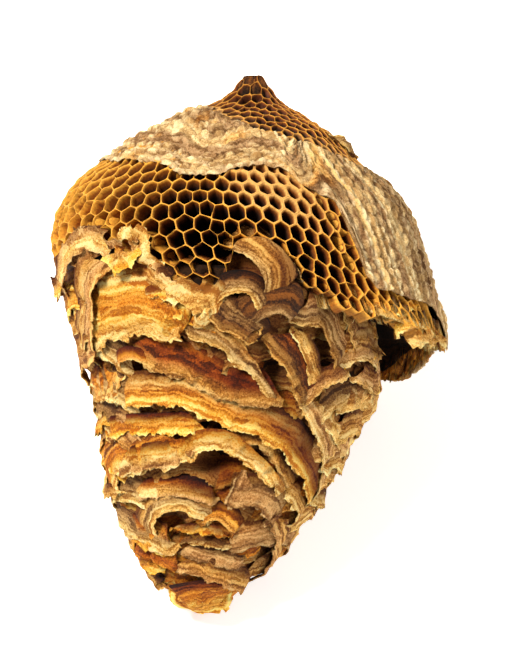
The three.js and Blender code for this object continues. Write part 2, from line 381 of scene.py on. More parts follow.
def front_spot(points: Points) -> tuple[Points, Points]:
    """Where points stand in the front drawing, across and down.

    Args:
        points: places in the nest's own frame.

    Returns:
        How far right and how far down each is, in drawing units.
    """
    near = 1 + points[..., 1] / EYE_DISTANCE
    x = AIM[0] + (points[..., 0] - AIM[0]) / near
    h = AIM[2] + (points[..., 2] - AIM[2]) / near
    return x / FRONT_UNIT + FRONT_AXIS, FRONT_FOOT - h / FRONT_UNIT


# Edge of the cap over the open cells, and the foot of those cells, in the front drawing.
CAP_STROKE: Stroke = (
    (106, 160), (114, 159), (130, 160), (150, 161), (166, 164), (177, 172), (190, 177), (206, 176),
    (232, 170), (262, 164), (284, 170), (300, 184), (316, 195), (334, 201), (346, 212), (352, 232),
    (358, 253), (365, 275), (376, 288), (400, 296), (420, 301), (433, 309), (441, 322),
)
COMB_FOOT: Stroke = (
    (40, 268), (62, 254), (85, 228), (110, 240), (135, 246), (150, 258), (165, 271), (182, 283),
    (200, 293), (213, 289), (222, 273), (234, 246), (250, 238), (265, 238), (280, 246), (290, 257),
    (298, 268), (304, 280), (316, 288), (330, 295), (345, 303), (372, 311), (395, 316), (430, 330),
)


def window_top(form: CombForm, angle: Points) -> Points:
    """Height of the cap's lower edge at each angle: over the window it is drawn, elsewhere it is the rim.

    Args:
        form: the comb.
        angle: angles round the nest.

    Returns:
        One height for each angle.
    """
    drawn = traced(form, CAP_STROKE)
    order = np.argsort(drawn[:, 0])
    height = np.interp(angle, drawn[order, 0], drawn[order, 1])
    rim = rim_height(form, angle)
    window = smoothstep(angle, *WINDOW_LEFT) * smoothstep(angle, *WINDOW_RIGHT)
    return rim + (height - rim) * window


class LaidDown:
    """Turns the nest's own frame on to its back, in metres."""

    def __init__(self) -> None:
        """Builds the turn and the shift."""
        self.turn = np.array(Matrix.Rotation(LYING_TURN, 3, "X"))
        self.shift = np.array([-REST_CENTRE[0], -REST_CENTRE[1], FLOOR_BELOW_TIP])

    def place(self, points: Points) -> Points:
        """The points laid down, pressed flat where they would pass the floor.

        Args:
            points: places in the nest's own frame, one a row.

        Returns:
            The places in metres.
        """
        down = points @ self.turn.T + self.shift
        down[:, 2] = np.maximum(down[:, 2], 0.0)
        return down / METRE


# ---- Skins: the points, faces and surface data of a piece ----


@dataclass
class Skin:
    """One piece's mesh while it is gathered, in the nest's own frame."""

    points: list[Points] = field(default_factory=list)
    faces: list[Points] = field(default_factory=list)
    data: dict[str, list[Points]] = field(default_factory=dict)
    count: int = 0

    def add(self, points: Points, faces: list[Points], **data: Points) -> None:
        """Adds points with their faces and data.

        Args:
            points: places, one a row.
            faces: arrays of corner numbers, each with one count of corners.
            data: named values, one row for each point.
        """
        self.points.append(points.reshape(-1, 3))
        self.faces += [f + self.count for f in faces]
        for name, values in data.items():
            self.data.setdefault(name, []).append(values)
        self.count += self.points[-1].shape[0]

    def add_grid(self, points: Points, closed: bool = False, **data: Points) -> None:
        """Adds a grid of points, closed round its columns if asked.

        Args:
            points: places, by row and column.
            closed: whether the last column joins the first.
            data: named values for the whole grid or each point.
        """
        rows, columns = points.shape[:2]
        number = np.arange(rows * columns).reshape(rows, columns)
        if closed:
            number = np.concatenate([number, number[:, :1]], 1)
        corners = (number[:-1, :-1], number[:-1, 1:], number[1:, 1:], number[1:, :-1])
        faces = np.stack([c.ravel() for c in corners], -1)
        flat = {}
        for name, values in data.items():
            width = values.shape[-1]
            flat[name] = np.broadcast_to(values, (rows, columns, width)).reshape(-1, width)
        self.add(points, [faces], **flat)

    def make(self, name: str, laid: LaidDown) -> bpy.types.Object:
        """Makes the Blender object, laid down and smooth.

        Args:
            name: the piece's name.
            laid: the turn on to its back.

        Returns:
            The new object.
        """
        mesh = bpy.data.meshes.new(name)
        self.fill(mesh, laid.place(np.concatenate(self.points)))
        for key, chunks in self.data.items():
            layer = mesh.attributes.new(key, "FLOAT_VECTOR", "POINT")
            layer.data.foreach_set("vector", np.concatenate(chunks).astype(np.float32).ravel())
        mesh.validate()
        mesh.shade_smooth()
        made = bpy.data.objects.new(name, mesh)
        bpy.context.scene.collection.objects.link(made)
        LOG.info("%s: %d faces", name, len(mesh.polygons))
        return made

    def fill(self, mesh: bpy.types.Mesh, points: Points) -> None:
        """Gives a mesh its points and faces.

        Args:
            mesh: the mesh to fill.
            points: its points, laid down.
        """
        mesh.vertices.add(len(points))
        mesh.vertices.foreach_set("co", points.ravel())
        corners = np.concatenate([f.ravel() for f in self.faces])
        sizes = np.concatenate([np.full(len(f), f.shape[1]) for f in self.faces])
        mesh.loops.add(len(corners))
        mesh.loops.foreach_set("vertex_index", corners.astype(np.int32))
        mesh.polygons.add(len(sizes))
        mesh.polygons.foreach_set("loop_start", (np.cumsum(sizes) - sizes).astype(np.int32))
        mesh.update(calc_edges=True)


# ---- Finishes ----


@dataclass(frozen=True)
class Palette:
    """The three colours that a paper's stripes run through."""

    pale: Colour
    mid: Colour
    deep: Colour


class Tone(Enum):
    """Papers, named by the wood pulp they were made of, but for the darkest, which is painted shade."""

    CHALK = Palette(srgb(255, 236, 184), srgb(230, 194, 132), srgb(180, 136, 80))
    MAUVE = Palette(srgb(204, 164, 116), srgb(158, 116, 72), srgb(94, 62, 32))
    YELLOW = Palette(srgb(255, 232, 132), srgb(252, 186, 56), srgb(196, 106, 10))
    CREAM = Palette(srgb(255, 232, 158), srgb(242, 188, 94), srgb(168, 102, 32))
    TAN = Palette(srgb(244, 194, 104), srgb(202, 134, 50), srgb(118, 64, 14))
    PINK = Palette(srgb(238, 190, 122), srgb(194, 134, 72), srgb(114, 64, 26))
    GREY = Palette(srgb(212, 170, 106), srgb(150, 104, 52), srgb(82, 48, 18))
    OCHRE = Palette(srgb(252, 180, 58), srgb(214, 120, 16), srgb(134, 64, 6))
    RUST = Palette(srgb(200, 100, 22), srgb(142, 60, 8), srgb(68, 28, 4))
    BROWN = Palette(srgb(142, 84, 30), srgb(92, 50, 15), srgb(42, 22, 7))
    # The darkest is no pulp: painted shade for the skirt's hollow, the sheet behind the cells, the inner wall
    # and the far sides of tucked strips.
    PAINTED_SHADE = Palette(srgb(60, 36, 14), srgb(36, 20, 8), srgb(16, 9, 4))


def toned(tones: tuple[Tone, ...], share: Points) -> dict[str, Points]:
    """Stripe colours that pass from tone to tone.

    Args:
        tones: the tones in order.
        share: how far along the order each point is, 0 to 1.

    Returns:
        The pale, mid and deep colours of each point.
    """
    steps = np.linspace(0, 1, len(tones)) if len(tones) > 1 else np.array([0.5])
    made = {}
    for name in ("pale", "mid", "deep"):
        table = np.array([getattr(t.value, name) for t in tones])
        made[name] = np.stack([np.interp(share, steps, table[:, k]) for k in range(3)], -1)
    return made


class Graph:
    """A material's node tree, built by short calls."""

    def __init__(self, name: str) -> None:
        """Starts a material with its shader.

        Args:
            name: the material's name.
        """
        self.material = bpy.data.materials.new(name)
        self.material.use_nodes = True
        self.nodes = self.material.node_tree.nodes
        self.links = self.material.node_tree.links
        self.shader = self.nodes["Principled BSDF"]

    def add(self, kind: str, settings: dict[str, object] | None = None, **inputs: object) -> bpy.types.Node:
        """Adds a node.

        Args:
            kind: the node's type.
            settings: the node's own properties.
            inputs: input sockets by name, each a socket to link or a value to set.

        Returns:
            The node.
        """
        node = self.nodes.new(kind)
        for key, value in (settings or {}).items():
            setattr(node, key, value)
        for key, value in inputs.items():
            self.join(value, node.inputs[int(key[1:]) if key[1:].isdigit() else key.replace("_", " ")])
        return node

    def join(self, value: object, socket: bpy.types.NodeSocket) -> None:
        """Links a socket to another, or sets it.

        Args:
            value: a socket to link, or a value to set.
            socket: the input that takes it.
        """
        if isinstance(value, bpy.types.NodeSocket):
            self.links.new(value, socket)
        else:
            socket.default_value = value

    def maths(self, operation: str, first: object, second: object = 0.0) -> bpy.types.NodeSocket:
        """One step of arithmetic."""
        return self.add("ShaderNodeMath", {"operation": operation}, i0=first, i1=second).outputs[0]

    def swayed(self, level: object, noise: object, weight: float) -> bpy.types.NodeSocket:
        """Adds noise between 0 and 1 to a level, so that its middle changes nothing."""
        return self.maths("ADD", level, self.maths("MULTIPLY", self.maths("SUBTRACT", noise, 0.5), weight))

    def spread(self, value: object, low: float, high: float, to_low: float,
               to_high: float) -> bpy.types.NodeSocket:
        """Maps a range on to another, held at its ends."""
        node = self.add("ShaderNodeMapRange", {"clamp": True}, i0=value, i1=low, i2=high, i3=to_low,
                        i4=to_high)
        return node.outputs[0]

    def gathered(self, x: object, y: object, z: object) -> bpy.types.NodeSocket:
        """A vector of three values."""
        return self.add("ShaderNodeCombineXYZ", None, X=x, Y=y, Z=z).outputs[0]

    def blend(self, factor: object, first: object, second: object, way: str = "MIX") -> bpy.types.NodeSocket:
        """Mixes two colours."""
        settings = {"data_type": "RGBA", "blend_type": way, "clamp_factor": True}
        return self.add("ShaderNodeMix", settings, i0=factor, i6=first, i7=second).outputs[2]

    def surface(self, name: str) -> bpy.types.Node:
        """Reads a mesh's own data."""
        return self.add("ShaderNodeAttribute", {"attribute_name": name})

    def grainy(self, vector: object, scale: float, detail: float = 2.0,
               rough: float = 0.5) -> bpy.types.NodeSocket:
        """Noise in space between 0 and 1."""
        node = self.add("ShaderNodeTexNoise", {"noise_dimensions": "3D"}, Vector=vector, Scale=scale,
                        Detail=detail, Roughness=rough)
        return node.outputs[0]

    def lined(self, where: object, scale: float, detail: float = 2.0,
              rough: float = 0.5) -> bpy.types.NodeSocket:
        """Noise along a line between 0 and 1."""
        node = self.add("ShaderNodeTexNoise", {"noise_dimensions": "1D"}, W=where, Scale=scale, Detail=detail,
                        Roughness=rough)
        return node.outputs[0]

    def space(self) -> bpy.types.NodeSocket:
        """The place of a point in millimetres.

        Returns:
            The place as a vector socket.
        """
        coordinates = self.add("ShaderNodeTexCoord").outputs["Object"]
        scaled = self.add("ShaderNodeVectorMath", {"operation": "SCALE"}, i0=coordinates, Scale=METRE)
        return scaled.outputs[0]

    def bump(self, height: object, distance: float, strength: float = 1.0) -> None:
        """Raises the surface by a height in millimetres."""
        node = self.add("ShaderNodeBump", None, Strength=strength, Distance=distance / METRE, Height=height)
        self.links.new(node.outputs[0], self.shader.inputs["Normal"])


@dataclass(frozen=True)
class StripedPaper:
    """Chewed-wood paper: stripes along each added strip, with fibres, flecks and a slight relief."""

    name: str
    stripe_scale: float = 0.95
    wander: float = 0.9
    fibre: float = 0.5
    relief: float = 0.75
    roughness: float = 0.9
    stripe_share: float = 0.88
    gloss: float = 0.2
    seed_spread: float = 61.7
    load_weight: float = 0.75
    mottle_weight: float = 2.3
    grime: Colour = (0.02, 0.012, 0.006)

    def make(self) -> bpy.types.Material:
        """Builds the material from the grain, pale, mid and deep data of a mesh.

        Returns:
            The material.
        """
        g = Graph(self.name)
        place = g.space()
        grain = g.add("ShaderNodeSeparateXYZ", None, i0=g.surface("grain").outputs["Vector"])
        band, along, seed = grain.outputs
        where = g.swayed(band, g.grainy(place, 0.16, 2.0, 0.5), self.wander * 3)
        where = g.swayed(where, g.grainy(place, 1.9, 3.0, 0.7), 1.5)
        start = g.maths("MULTIPLY", seed, self.seed_spread)
        load = self.loads(g, where, along, start)
        thread = g.gathered(g.maths("MULTIPLY", where, 3.6), g.maths("MULTIPLY", along, 1.7), start)
        fibres = g.grainy(thread, 1.0, 3.0, 0.6)
        mottle = g.grainy(place, 1.7, 5.0, 0.8)
        level = g.swayed(self.stripes(g, where, start), fibres, self.fibre * 2)
        level = g.swayed(level, load, self.load_weight)
        level = g.swayed(level, mottle, self.mottle_weight)
        g.join(self.coloured(g, level, place), g.shader.inputs["Base Color"])
        g.shader.inputs["Roughness"].default_value = self.roughness
        g.shader.inputs["Specular IOR Level"].default_value = self.gloss
        rise = g.maths("ADD", g.maths("MULTIPLY", load, 0.35), g.maths("MULTIPLY", fibres, 0.5))
        rise = g.maths("ADD", rise, g.maths("MULTIPLY", mottle, 1.5))
        g.bump(rise, self.relief)
        return g.material

    def stripes(self, g: Graph, where: object, start: object) -> bpy.types.NodeSocket:
        """Bands of darker and paler pulp.

        Args:
            g: the material's node tree.
            where: distance across the stripes.
            start: where they start.

        Returns:
            A level between dark and pale.
        """
        bands = g.lined(g.maths("ADD", where, start), self.stripe_scale, 3.0, 0.6)
        half = 0.5 * self.stripe_share
        return g.spread(bands, 0.3, 0.7, 0.5 - half, 0.5 + half)

    def loads(self, g: Graph, where: object, along: object, start: object) -> bpy.types.NodeSocket:
        """Each load of pulp that was added, with its own value.

        Args:
            g: the material's node tree.
            where: distance across the stripes.
            along: distance along them.
            start: where they start.

        Returns:
            The load's value, 0 to 1.
        """
        load_at = g.gathered(g.maths("MULTIPLY", where, 0.85), g.maths("MULTIPLY", along, 0.2), start)
        cells = g.add("ShaderNodeTexVoronoi", {"voronoi_dimensions": "3D"}, Vector=load_at, Scale=1.0)
        return g.add("ShaderNodeSeparateColor", None, i0=cells.outputs["Color"]).outputs[0]

    def coloured(self, g: Graph, level: object, place: object) -> bpy.types.NodeSocket:
        """The stripe colours at a level, with dark flecks.

        Args:
            g: the material's node tree.
            level: 0 for dark to 1 for pale.
            place: where the point is.

        Returns:
            The colour.
        """
        pale, mid, deep = (g.surface(key).outputs["Color"] for key in ("pale", "mid", "deep"))
        colour = g.blend(g.spread(level, 0.0, 0.5, 0.0, 1.0), deep, mid)
        colour = g.blend(g.spread(level, 0.5, 1.0, 0.0, 1.0), colour, pale)
        flecks = g.spread(g.grainy(place, 2.2, 2.0, 0.6), 0.6, 0.7, 0.0, 0.7)
        return g.blend(flecks, colour, g.blend(0.5, deep, self.grime + (1,)))


@dataclass(frozen=True)
class CellPaper:
    """Brood cell walls: bright on the rims, golden below them and almost black down the cells; the darkening
    down each cell is painted shade.
    """

    name: str
    rim: Colour = srgb(222, 158, 54)
    wall: Colour = srgb(142, 76, 8)
    throat_shade: Colour = srgb(92, 46, 6)
    bottom: Colour = srgb(10, 5, 2)
    crust: Colour = srgb(192, 150, 90)
    rust: Colour = srgb(104, 46, 10)
    roughness: float = 0.72
    gloss: float = 0.3
    relief: float = 0.22

    def make(self) -> bpy.types.Material:
        """Builds the material from the cell data (depth, turn, seed) and state data (cover, painted_glow,
        rust); depth and painted_glow set the painted shade down each cell.

        Returns:
            The material.
        """
        g = Graph(self.name)
        cell = g.add("ShaderNodeSeparateXYZ", None, i0=g.surface("cell").outputs["Vector"])
        state = g.add("ShaderNodeSeparateXYZ", None, i0=g.surface("state").outputs["Vector"])
        depth, turn, seed = cell.outputs
        cover, painted_glow, rust = state.outputs
        streak_at = g.gathered(g.maths("MULTIPLY", turn, 3.0), g.maths("MULTIPLY", depth, 0.22),
                               g.maths("MULTIPLY", seed, 43.0))
        streaks = g.grainy(streak_at, 1.0, 2.0, 0.6)
        speckle = g.grainy(g.space(), 1.3, 3.0, 0.6)
        reach = g.maths("ADD", g.maths("MULTIPLY", painted_glow, 4.5), 1.0)
        sunk = g.swayed(g.maths("DIVIDE", depth, reach), streaks, 0.9)
        colour = self.down_the_cell(g, sunk)
        colour = g.blend(g.maths("MULTIPLY", rust, 0.6), colour, self.rust + (1,))
        shallow = g.spread(depth, 0.4, 1.6, 1.0, 0.0)
        crusted = g.maths("MULTIPLY", shallow, g.maths("MULTIPLY", cover, 0.9))
        colour = g.blend(crusted, colour, self.crust + (1,))
        dull = g.spread(speckle, 0.3, 0.7, 0.62, 1.12)
        grey = g.add("ShaderNodeCombineColor", None, Red=dull, Green=dull, Blue=dull).outputs[0]
        g.join(g.blend(1.0, colour, grey, "MULTIPLY"), g.shader.inputs["Base Color"])
        g.shader.inputs["Roughness"].default_value = self.roughness
        g.shader.inputs["Specular IOR Level"].default_value = self.gloss
        g.bump(g.maths("ADD", speckle, g.maths("MULTIPLY", streaks, 0.5)), self.relief)
        return g.material

    def down_the_cell(self, g: Graph, sunk: object) -> bpy.types.NodeSocket:
        """Colour from the rim to the bottom of a cell, darkened by painted shade on the way down.

        Args:
            g: the material's node tree.
            sunk: how far down, in steps of the painted light's reach.

        Returns:
            The colour.
        """
        colour = g.blend(g.spread(sunk, 0.2, 0.9, 0.0, 1.0), self.rim + (1,), self.wall + (1,))
        colour = g.blend(g.spread(sunk, 0.8, 2.4, 0.0, 1.0), colour, self.throat_shade + (1,))
        return g.blend(g.spread(sunk, 1.9, 4.2, 0.0, 1.0), colour, self.bottom + (1,))


# ---- The comb ----


def clipped(corners: list[tuple[float, float]], mid: tuple[float, float], away: tuple[float, float]) -> list:
    """Cuts a polygon by the line through mid square to away, keeping the near side.

    Args:
        corners: the polygon.
        mid: a point of the line.
        away: the way to the side cut off.

    Returns:
        The corners that are left.
    """
    side = [(x - mid[0]) * away[0] + (y - mid[1]) * away[1] for x, y in corners]
    kept = []
    for i, (x, y) in enumerate(corners):
        j = (i + 1) % len(corners)
        if side[i] <= 0:
            kept.append((x, y))
        if (side[i] < 0 < side[j]) or (side[j] < 0 < side[i]):
            t = side[i] / (side[i] - side[j])
            kept.append((x + (corners[j][0] - x) * t, y + (corners[j][1] - y) * t))
    return kept


@dataclass
class Lattice:
    """Seats of brood cells in a flat chart, staggered like honeycomb and then relaxed."""

    pitch: float
    seed: int
    jitter: float = 0.175

    def seats(self, low: tuple[float, float], high: tuple[float, float]) -> Points:
        """Seats that fill a box of the chart.

        Args:
            low: the box's lowest corner.
            high: its highest corner.

        Returns:
            The seats, one a row.
        """
        rng = np.random.default_rng(self.seed)
        rise = self.pitch * math.sqrt(3) / 2
        rows = np.arange(low[1], high[1], rise)
        seats = [
            (x + (n % 2) * self.pitch / 2, y)
            for n, y in enumerate(rows)
            for x in np.arange(low[0], high[0], self.pitch)
        ]
        return np.array(seats) + rng.normal(0, self.jitter * self.pitch, (len(seats), 2))

    def polygons(self, seats: Points) -> list[Points]:
        """The part of the chart nearest to each seat.

        Args:
            seats: the seats.

        Returns:
            One polygon for each seat.
        """
        reach = self.pitch * 2.3
        shapes = []
        for seat in seats:
            gap = np.linalg.norm(seats - seat, axis=1)
            near = np.argsort(gap)[1:15]
            box = self.pitch
            x, y = seat
            shape = [(x - box, y - box), (x + box, y - box), (x + box, y + box), (x - box, y + box)]
            for other in near:
                if gap[other] > reach:
                    break
                away = tuple(seats[other] - seat)
                shape = clipped(shape, (x + away[0] / 2, y + away[1] / 2), away)
            shapes.append(np.array(shape))
        return shapes

    def relaxed(self, seats: Points, rounds: int = 2) -> Points:
        """Seats moved towards the middles of their own polygons.

        Args:
            seats: the seats.
            rounds: how often they are moved.

        Returns:
            The moved seats.
        """
        for _ in range(rounds):
            middles = np.array([shape.mean(0) for shape in self.polygons(seats)])
            seats = seats * 0.4 + middles * 0.6
        return seats


@dataclass
class CellBuilder:
    """Builds one open cell after another into a skin."""

    form: CombForm
    place: Callable[[Points], tuple[Points, Points]]  # chart to angle and height
    noise: Noise
    depth: float
    pitch: float
    # Each ring down a cell: its size and depth when bare, and when thick with pulp.
    BARE = ((1.0, 0.0), (0.965, 0.02), (0.945, -0.2), (0.935, -0.9), (0.92, -2.4), (0.88, -5.0), (0.82, -9.0))
    CRUSTED = ((1.0, -0.28), (0.90, 0.12), (0.80, 0.05), (0.70, -0.35), (0.66, -1.3), (0.66, -4.0),
               (0.62, -9.0))
    ROUNDING = (0.0, 0.12, 0.25, 0.35, 0.45, 0.5, 0.6)
    OUTSIDE = ((0.995, -9.0), (1.0, -4.0))  # rings up the outer wall of a cell at the comb's border
    RING_DEPTH = 9.0  # the depth and pitch that the rings above are drawn for
    RING_PITCH = 5.6
    # An outer wall takes the painted shade of that depth.
    OUTER_SHADE = 0.9  # the depth that an outer wall is coloured as

    def outline(self, shape: Points) -> Points:
        """A polygon's outline with four steps to each side.

        Args:
            shape: the polygon's corners.

        Returns:
            The outline, one point a row.
        """
        after = np.roll(shape, -1, 0)
        steps = np.linspace(0, 1, 4, endpoint=False)
        return (shape[:, None] + (after - shape)[:, None] * steps[None, :, None]).reshape(-1, 2)

    def levels(self, cover: float, edge_wall: bool) -> list[tuple[float, float, float]]:
        """Each ring's size, depth and rounding, from the foot of an outer wall over the rim and down.

        Args:
            cover: how far the cell is covered with pulp.
            edge_wall: whether it has an outside wall.

        Returns:
            The levels in order.
        """
        made = [(size, down, 0.0) for size, down in self.OUTSIDE] if edge_wall else []
        for bare, crust, rounding in zip(self.BARE, self.CRUSTED, self.ROUNDING):
            size, down = (b + (c - b) * cover for b, c in zip(bare, crust))
            made.append((size, down, rounding))
        return made

    def ring_row(self, ring: Points, seat: Points, outward: Points, deep: float,
                 level: tuple[float, float, float]) -> tuple[Points, float]:
        """One ring of a cell.

        Args:
            ring: the cell's outline round its seat.
            seat: the cell's middle in the chart.
            outward: the way out of the cell.
            deep: how deep the cell is.
            level: the ring's size, depth and rounding.

        Returns:
            The ring's points, and how far they are raised.
        """
        size, down, rounding = level
        radius = np.linalg.norm(ring, axis=1)
        even = ring / radius[:, None] * radius.mean()
        angle, height = self.place((ring * (1 - rounding) + even * rounding) * size + seat)
        points = self.form.base(angle, height)
        crest = 0.7 * self.noise.rough(points, 2.6) + 0.6 * self.noise.at(points, 11.0)
        drop = down * deep / self.RING_DEPTH if down < -0.5 else down * self.pitch / self.RING_PITCH
        return points + outward * (drop + crest * min(1, size**6 + 0.2))[..., None], drop

    def add(self, skin: Skin, seat: Points, shape: Points, seed: float, state: tuple[float, float, float],
            edge_wall: bool) -> None:
        """Adds a cell.

        Args:
            skin: what to add it to.
            seat: the cell's middle in the chart.
            shape: its polygon in the chart.
            seed: its own value.
            state: how far it is covered with pulp, how much painted light its walls hold, and how rusty it
                is.
            edge_wall: whether it has an outside wall, at the border of the comb.
        """
        ring = self.outline(shape) - seat
        angle, height = self.place(seat[None])
        outward = lifted(self.form, angle, height, 1.0) - self.form.base(angle, height)
        near_rim = float(smoothstep(height[0], 106, 100))
        deep = (self.depth - 3.6 * near_rim) * (1 + 0.12 * math.sin(seed * 40))
        rows, depths = [], []
        for number, level in enumerate(self.levels(state[0], edge_wall)):
            row, drop = self.ring_row(ring, seat, outward, deep, level)
            outer = edge_wall and number < len(self.OUTSIDE)
            rows.append(row)
            depths.append(np.full(len(ring), self.OUTER_SHADE if outer else max(0.0, -drop)))
        count = len(rows)
        turn = np.tile(np.arctan2(ring[:, 1], ring[:, 0]), (count, 1))
        cell = np.stack([np.stack(depths), turn, np.full((count, len(ring)), seed)], -1)
        last = np.arange(len(ring)) + skin.count + (count - 1) * len(ring)
        skin.add_grid(np.stack(rows), True, cell=cell, state=np.tile(np.array(state), (count, len(ring), 1)))
        skin.faces.append(last[None, :])


class BroodChart:
    """Flattens the comb's window: evenly up the comb, and a little wider than true towards the sides."""

    def __init__(self, form: CombForm) -> None:
        """Tabulates both directions.

        Args:
            form: the comb.
        """
        self.turns = np.linspace(-2.9, 1.9, 600)
        even = 0.5 * (self.turns < 0)
        step = CHART_RADIUS * np.maximum(0.66, even * np.cos(self.turns) + 1 - even)
        step = step * (1 + 0.26 * smoothstep(self.turns, 0.1, 0.7))
        across = np.concatenate([[0], np.cumsum((step[1:] + step[:-1]) / 2 * np.diff(self.turns))])
        self.across = across - np.interp(0, self.turns, across)
        self.heights = np.linspace(70, 150, 400)
        half = form.outline.at(self.heights)[:, 1]
        lean = np.gradient(half, self.heights)
        up = np.sqrt(1 + (0.8 * lean) ** 2)
        self.up = np.concatenate([[0], np.cumsum(up[1:] * np.diff(self.heights))])

    def place(self, uv: Points) -> tuple[Points, Points]:
        """Angle and height of chart places; rows droop to both sides."""
        droop = 0.0026 * (uv[..., 0] + 12) ** 2
        return (np.interp(uv[..., 0], self.across, self.turns),
                np.interp(uv[..., 1] - droop, self.up, self.heights))


class NeckChart:
    """Flattens the neck's cone like a fan seen from above."""

    def __init__(self, form: CombForm) -> None:
        """Tabulates height against the distance from the middle.

        Args:
            form: the comb.
        """
        self.heights = np.linspace(NEST_LENGTH, 118, 400)
        half = form.outline.at(self.heights)[:, 1]
        self.away = half + 0.35 * (NEST_LENGTH - self.heights)

    def place(self, uv: Points) -> tuple[Points, Points]:
        """Angle and height of chart places."""
        away = np.hypot(uv[..., 0], uv[..., 1])
        return np.arctan2(uv[..., 0], -uv[..., 1]), np.interp(away, self.away, self.heights)


@dataclass
class BroodComb:
    """The comb: open brood cells in the window and on the neck, and the skirt's inner wall."""

    form: CombForm
    laid: LaidDown
    pitch: float = 5.15
    neck_pitch: float = 4.5
    depth: float = 9.5
    neck_depth: float = 5.5
    WINDOW_TURNS = (-2.8, 1.76)  # angles between which the comb is bare
    UNDER_CAP = 5.0  # how far the cells go on under the cap's edge
    OVER_RIM = 1.5  # and how far above the rim they stop
    SEED_STEP = 0.618
    # Colours by depth into the skirt; the deepest are painted shade for its pits and hollow.
    SKIRT_TONES = (Tone.CREAM, Tone.YELLOW, Tone.OCHRE, Tone.BROWN, Tone.BROWN, Tone.PAINTED_SHADE)

    def in_window(self, angle: Points, height: Points) -> Points:
        """Whether the comb is bare there.

        Args:
            angle: angles round the nest.
            height: heights up the nest.

        Returns:
            True for each place where it is.
        """
        p = self.form.base(angle, height)
        drawn_x, drawn_y = front_spot(p)
        foot = Curve(COMB_FOOT).at(drawn_x)[..., 0]
        under = p[..., 2] < window_top(self.form, angle) + self.UNDER_CAP
        above = np.where(angle > -1.62, drawn_y < foot + 2, True)
        wide = (angle > self.WINDOW_TURNS[0]) & (angle < self.WINDOW_TURNS[1])
        return wide & under & above & (p[..., 2] > rim_height(self.form, angle) + self.OVER_RIM)

    @staticmethod
    def state_at(points: Points) -> tuple[float, float, float]:
        """How pulpy, how lit by painted light and how rusty a cell is.

        Args:
            points: the cell's place on the comb.

        Returns:
            Three values, 0 to 1.
        """
        x, y = front_spot(points)
        pulpy = smoothstep(x, 205, 250) * smoothstep(y - 0.4 * (x - 215), 208, 182) * smoothstep(x, 350, 290)
        # Painted light: the left and right cells keep their bright colour deeper down.
        painted_lit_left = smoothstep(x, 200, 110) * smoothstep(y, 165, 225) * 0.5
        painted_lit_right = 0.3 * smoothstep(x, 330, 400)
        return float(pulpy) * 0.7, max(float(painted_lit_left), float(painted_lit_right)), 0.12

    def brood(self) -> bpy.types.Object:
        """The cells of the window.

        Returns:
            The piece.
        """
        chart = BroodChart(self.form)
        lattice = Lattice(self.pitch, 11)
        seats = lattice.relaxed(lattice.seats((-118, 4), (74, 92)))
        shapes = lattice.polygons(seats)
        angle, height = chart.place(seats)
        kept = self.in_window(angle, height)
        builder = CellBuilder(self.form, chart.place, Noise(5), self.depth, self.pitch)
        skin = Skin()
        for i in np.flatnonzero(kept):
            near = np.linalg.norm(seats - seats[i], axis=1) < self.pitch * 1.4
            point = self.form.base(angle[i], height[i])
            seed = (i * self.SEED_STEP) % 1
            builder.add(skin, seats[i], shapes[i], seed, self.state_at(point), not kept[near].all())
        return skin.make("brood_cells", self.laid)

    def neck(self) -> bpy.types.Object:
        """The small cells round the neck.

        Returns:
            The piece.
        """
        chart = NeckChart(self.form)
        lattice = Lattice(self.neck_pitch, 12)
        seats = lattice.relaxed(lattice.seats((-62, -62), (62, 62)))
        shapes = lattice.polygons(seats)
        angle, height = chart.place(seats)
        p = self.form.base(angle, height)
        edge = Curve(NECK_EDGE).at(np.clip(p[..., 0], -NECK_EDGE_END, NECK_EDGE_END))[..., 0]
        kept = (p[..., 2] > edge - 4) & (p[..., 2] < 163.6) & (p[..., 2] > 132)
        builder = CellBuilder(self.form, chart.place, Noise(6), self.neck_depth, self.neck_pitch)
        skin = Skin()
        for i in np.flatnonzero(kept):
            pulpy = float(smoothstep(p[i, 2] - edge[i], 4, -2)) * 0.6
            rusty = 0.25 + float(smoothstep(p[i, 2], 146, 160)) * 0.5
            seed = (i * self.SEED_STEP) % 1
            # Negative painted light: the neck cells darken with painted shade close under their rims.
            builder.add(skin, seats[i], shapes[i], seed, (pulpy, -0.16, rusty), False)
        return skin.make("neck_cells", self.laid)

    def stem(self, paper: bpy.types.Material) -> bpy.types.Object:
        """The cut neck's fibrous stub, and the sheet behind all the cells.

        Args:
            paper: its finish.

        Returns:
            The piece.
        """
        columns = 96
        angle = np.linspace(-math.pi, math.pi, columns, endpoint=False)[None, :]
        height = 84 + (NEST_LENGTH - 84) * np.linspace(0, 1, 70)[:, None]
        height, angle = np.broadcast_arrays(height, angle)
        height = np.maximum(height, np.broadcast_to(rim_height(self.form, angle[0]) + 2, height.shape))
        inside = -8.6 * smoothstep(height, 163, 152) - 0.4 * smoothstep(height, 152, 160)
        points = lifted(self.form, angle, height, inside)
        fibre = Noise(8).at(np.stack([angle * 9, height * 0.3], -1), 1.0)
        points[..., 0] += 0.35 * fibre * smoothstep(height, 157, 161)
        grain = np.stack([angle * 4, height, 0 * height], -1)
        skin = Skin()
        # The sheet behind the cells is painted near black as shade; the stub's top is brown.
        tone = toned((Tone.PAINTED_SHADE, Tone.BROWN), smoothstep(height, 160, 164))
        skin.add_grid(points, True, grain=grain, **tone)
        sizes = (1.0, 0.9, 0.45, 0.05)
        top = np.stack([points[-1] * (1, 1, 0) * s + (0.8 * (1 - s), 0, NEST_LENGTH - 0.2 * (1 - s))
                        for s in sizes])
        tone = toned((Tone.BROWN,), np.zeros((len(sizes), columns)))
        skin.add_grid(top, True, grain=np.tile(grain[-1:], (len(sizes), 1, 1)), **tone)
        made = skin.make("comb_base", self.laid)
        made.data.materials.append(paper)
        return made

